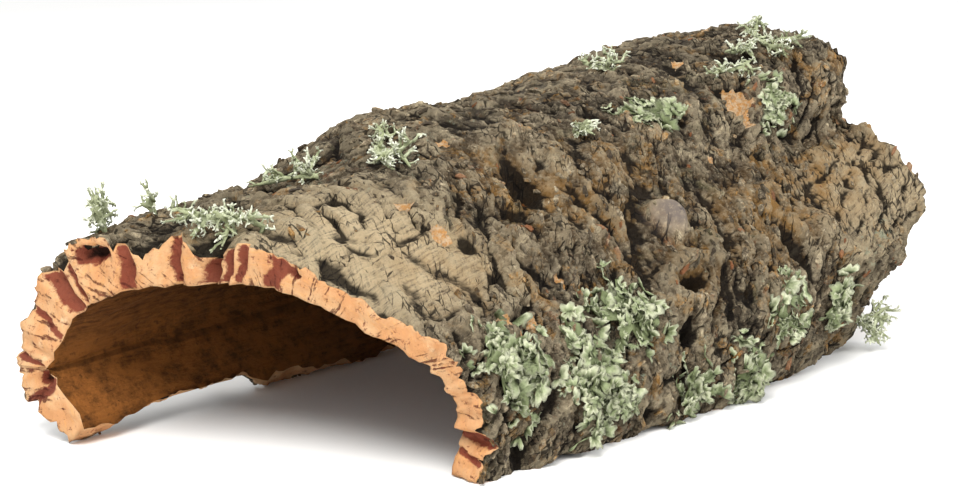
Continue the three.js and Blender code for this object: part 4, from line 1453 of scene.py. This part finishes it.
class CORK_OT_scales(bpy.types.Operator):
    """Strews loose scales of bark over the skin, in three pieces from the left foot to the right"""

    bl_idname = "cork.scales"
    bl_label = "Bark Scales"

    parts = (("left", 0.0, 0.36), ("crown", 0.36, 0.66), ("right", 0.66, 1.0))

    def execute(self, context):
        settings = context.scene.cork_relief
        shapes = shape_box("bark scale shapes", [flake_mesh(f"scale {k}", 40 + k) for k in range(8)])
        material = scale_material(context.scene.cork_colours)
        tree = strewing_tree("strew bark scales")
        for seed, (name, low, high) in enumerate(self.parts):
            values = {
                "Shapes": shapes,
                "Spacing": settings.scale_spacing,
                "Density": 140000.0,
                "Smallest": settings.scale_smallest,
                "Largest": settings.scale_largest,
                "Tilt": 0.28,
                "Spin": 0.6,
                "Seed": seed,
                "Material": material,
            }
            name = f"cork_bark_scales_{name}"
            mesh = strewn(name, self.bed(low, high), tree, values)
            settle(shown(name, mesh), None)
        empty_box(shapes)
        return {"FINISHED"}

    def bed(self, low, high):
        """The skin between two places in v, with where scales lie and the way the grain runs."""
        bark = bpy.data.objects["cork_bark_skin"].data
        grid = skin_grid()
        rows, columns = grid.shape[:2]
        first, last = int(low * (rows - 1)), int(high * (rows - 1)) + 1
        numbers = np.arange((last - first) * columns).reshape(last - first, columns)
        corners = cell_corners(numbers)
        faces = np.stack(corners, axis=-1).reshape(-1, 4).tolist()
        mesh = new_mesh("bed", grid[first:last].reshape(-1, 3).tolist(), faces)

        def part(values):
            return values[: rows * columns].reshape(rows, columns)[first:last]

        crumb, hollow = part(read_attribute(bark, "crumb")), part(read_attribute(bark, "hollow"))
        give_attribute(mesh, "strewn", crumb * np.clip(0.2 + 0.25 * hollow, 0, 1))
        lean = np.where(np.arange(rows) < 0.45 * rows, SLANT, -SLANT)[:, None, None]
        way = unit(np.gradient(grid, axis=0)) + lean * unit(np.gradient(grid, axis=1))
        attribute = mesh.attributes.new("grain", "FLOAT_VECTOR", "POINT")
        attribute.data.foreach_set("vector", way[first:last].astype(np.float32).reshape(-1))
        return shown("bed", mesh)


def dressed_lichens(leafy, finish, shapes, spacing, sizes, tilt, swell, least):
    """Gives each lichen of a kind its own softened solid, with leaves or twigs strewn on its outer side."""
    tree = strewing_tree("strew leaves" if leafy else "strew twigs")
    bark_tree = solid_tree("cork_bark")
    ending = "_leaves" if leafy else "_twigs"
    for number, node in enumerate(lichen_names(leafy)):
        body = softened_solid(node, 0.00045, 2, swell)
        values = {
            "Shapes": shapes,
            "Spacing": spacing,
            "Density": 500000.0,
            "Smallest": sizes[0],
            "Largest": sizes[1],
            "Tilt": tilt,
            "Spin": math.pi,
            "Seed": 10 + number,
            "Material": finish,
        }
        cover = strewn("cover", outer_bed(body, bark_tree, least, leafy), tree, values)
        meshes = [body, cover]
        if leafy:
            meshes.append(strewn("skirt", skirt_bed(body, SKIRT), tree, values))
        mesh = joined(node + ending, meshes)
        mesh.materials.append(finish)
        settle(shown(node + ending, mesh), node)
    empty_box(shapes)


class CORK_OT_leafy_lichens(bpy.types.Operator):
    """Makes the leafy lichens, each a bed of lobed leaves"""

    bl_idname = "cork.leafy_lichens"
    bl_label = "Leafy Lichens"

    def execute(self, context):
        settings = context.scene.cork_lichen
        finish = lichen_material("leafy lichen", settings.green, settings.pale, settings.green_deep)
        shapes = shape_box("leaf shapes", [leaf_mesh(f"leaf {k}", 60 + k) for k in range(8)])
        sizes = (settings.leaf_smallest, settings.leaf_largest)
        dressed_lichens(True, finish, shapes, settings.leaf_spacing, sizes, 0.5, 0.0, 0.35)
        return {"FINISHED"}


class CORK_OT_shrubby_lichens(bpy.types.Operator):
    """Makes the shrubby lichens, each a forked stem set with twigs"""

    bl_idname = "cork.shrubby_lichens"
    bl_label = "Shrubby Lichens"

    def execute(self, context):
        settings = context.scene.cork_lichen
        finish = lichen_material("shrubby lichen", settings.straw, settings.white, settings.straw_deep)
        shapes = shape_box("twig shapes", [twig_mesh(f"twig {k}", 80 + k) for k in range(8)])
        sizes = (settings.twig_smallest, settings.twig_largest)
        dressed_lichens(False, finish, shapes, settings.twig_spacing, sizes, 1.1, 0.0004, -0.1)
        return {"FINISHED"}


# Camera, as the photograph was taken: place in the bark's own mm, and how it looks
CAMERA_PLACE = (-641, -567, 271)
CAMERA_TURN = 55.1
CAMERA_DROP = 12.0
FOCAL_PIXELS = 2300
IMAGE_WIDTH = 959
SENSOR_WIDTH = 36.0


class CORK_OT_stage(bpy.types.Operator):
    """Makes the pale floor, the soft lights and the camera"""

    bl_idname = "cork.stage"
    bl_label = "Stage"

    def execute(self, context):
        settings = context.scene.cork_stage
        half = settings.floor_half
        corners = [(-half, -half, 0), (half, -half, 0), (half, half, 0), (-half, half, 0)]
        mesh = new_mesh("floor", corners, [(0, 1, 2, 3)])
        mesh.materials.append(floor_material(settings.floor))
        shown("floor", mesh)
        self.light("key light", (-0.75, -0.35, 1.15), 0.7, settings.key, (1.0, 0.98, 0.95))
        self.light("fill light", (0.35, -1.15, 0.7), 0.9, settings.fill, (0.98, 0.99, 1.0))
        self.light("back light", (0.5, 0.9, 0.8), 0.8, settings.fill, (1.0, 1.0, 1.0))
        world = bpy.data.worlds.new("soft sky")
        world.use_nodes = True
        sky = world.node_tree.nodes["Background"]
        sky.inputs["Color"].default_value = (1, 1, 1, 1)
        sky.inputs["Strength"].default_value = settings.sky
        context.scene.world = world
        context.scene.view_settings.view_transform = "Standard"
        self.camera(context.scene)
        return {"FINISHED"}

    def light(self, name, place, size, power, colour):
        lamp = bpy.data.lights.new(name, "AREA")
        lamp.size = size
        lamp.energy = power
        lamp.color = colour
        holder = shown(name, lamp)
        holder.location = place
        self.aim(holder, Vector((0, 0, 0.05)) - Vector(place))

    def aim(self, holder, way):
        holder.rotation_mode = "QUATERNION"
        holder.rotation_quaternion = way.to_track_quat("-Z", "Y")

    def camera(self, scene):
        lens = bpy.data.cameras.new("camera")
        lens.sensor_width = SENSOR_WIDTH
        lens.lens = FOCAL_PIXELS * SENSOR_WIDTH / IMAGE_WIDTH
        lens.clip_start = 0.05
        lens.clip_end = 50
        holder = shown("camera", lens)
        holder.location = to_frame(CAMERA_PLACE)
        turn, drop = math.radians(CAMERA_TURN), math.radians(CAMERA_DROP)
        level = math.cos(drop)
        self.aim(holder, Vector((math.sin(turn) * level, math.cos(turn) * level, -math.sin(drop))))
        scene.camera = holder


class CORK_PT_panel(bpy.types.Panel):
    """Lists the pieces of the slab"""

    bl_idname = "CORK_PT_panel"
    bl_label = "Cork Bark"
    bl_space_type = "VIEW_3D"
    bl_region_type = "UI"
    bl_category = "Cork Bark"

    def draw(self, context):
        for operator in OPERATORS:
            self.layout.operator(operator.bl_idname)


GROUPS = (
    ("cork_relief", CorkBarkRelief),
    ("cork_colours", CorkBarkColours),
    ("cork_lichen", CorkLichenSettings),
    ("cork_stage", CorkStageSettings),
)
OPERATORS = (CORK_OT_bark, CORK_OT_scales, CORK_OT_leafy_lichens, CORK_OT_shrubby_lichens, CORK_OT_stage)


def register():
    for name, group in GROUPS:
        bpy.utils.register_class(group)
        setattr(bpy.types.Scene, name, bpy.props.PointerProperty(type=group))
    for entry in (*OPERATORS, CORK_PT_panel):
        bpy.utils.register_class(entry)


def unregister():
    for entry in reversed((*OPERATORS, CORK_PT_panel)):
        bpy.utils.unregister_class(entry)
    for name, group in reversed(GROUPS):
        delattr(bpy.types.Scene, name)
        bpy.utils.unregister_class(group)


def main():
    register()
    bpy.ops.cork.bark()
    bpy.ops.cork.scales()
    bpy.ops.cork.leafy_lichens()
    bpy.ops.cork.shrubby_lichens()
    bpy.ops.cork.stage()


if __name__ == "__main__":
    main()
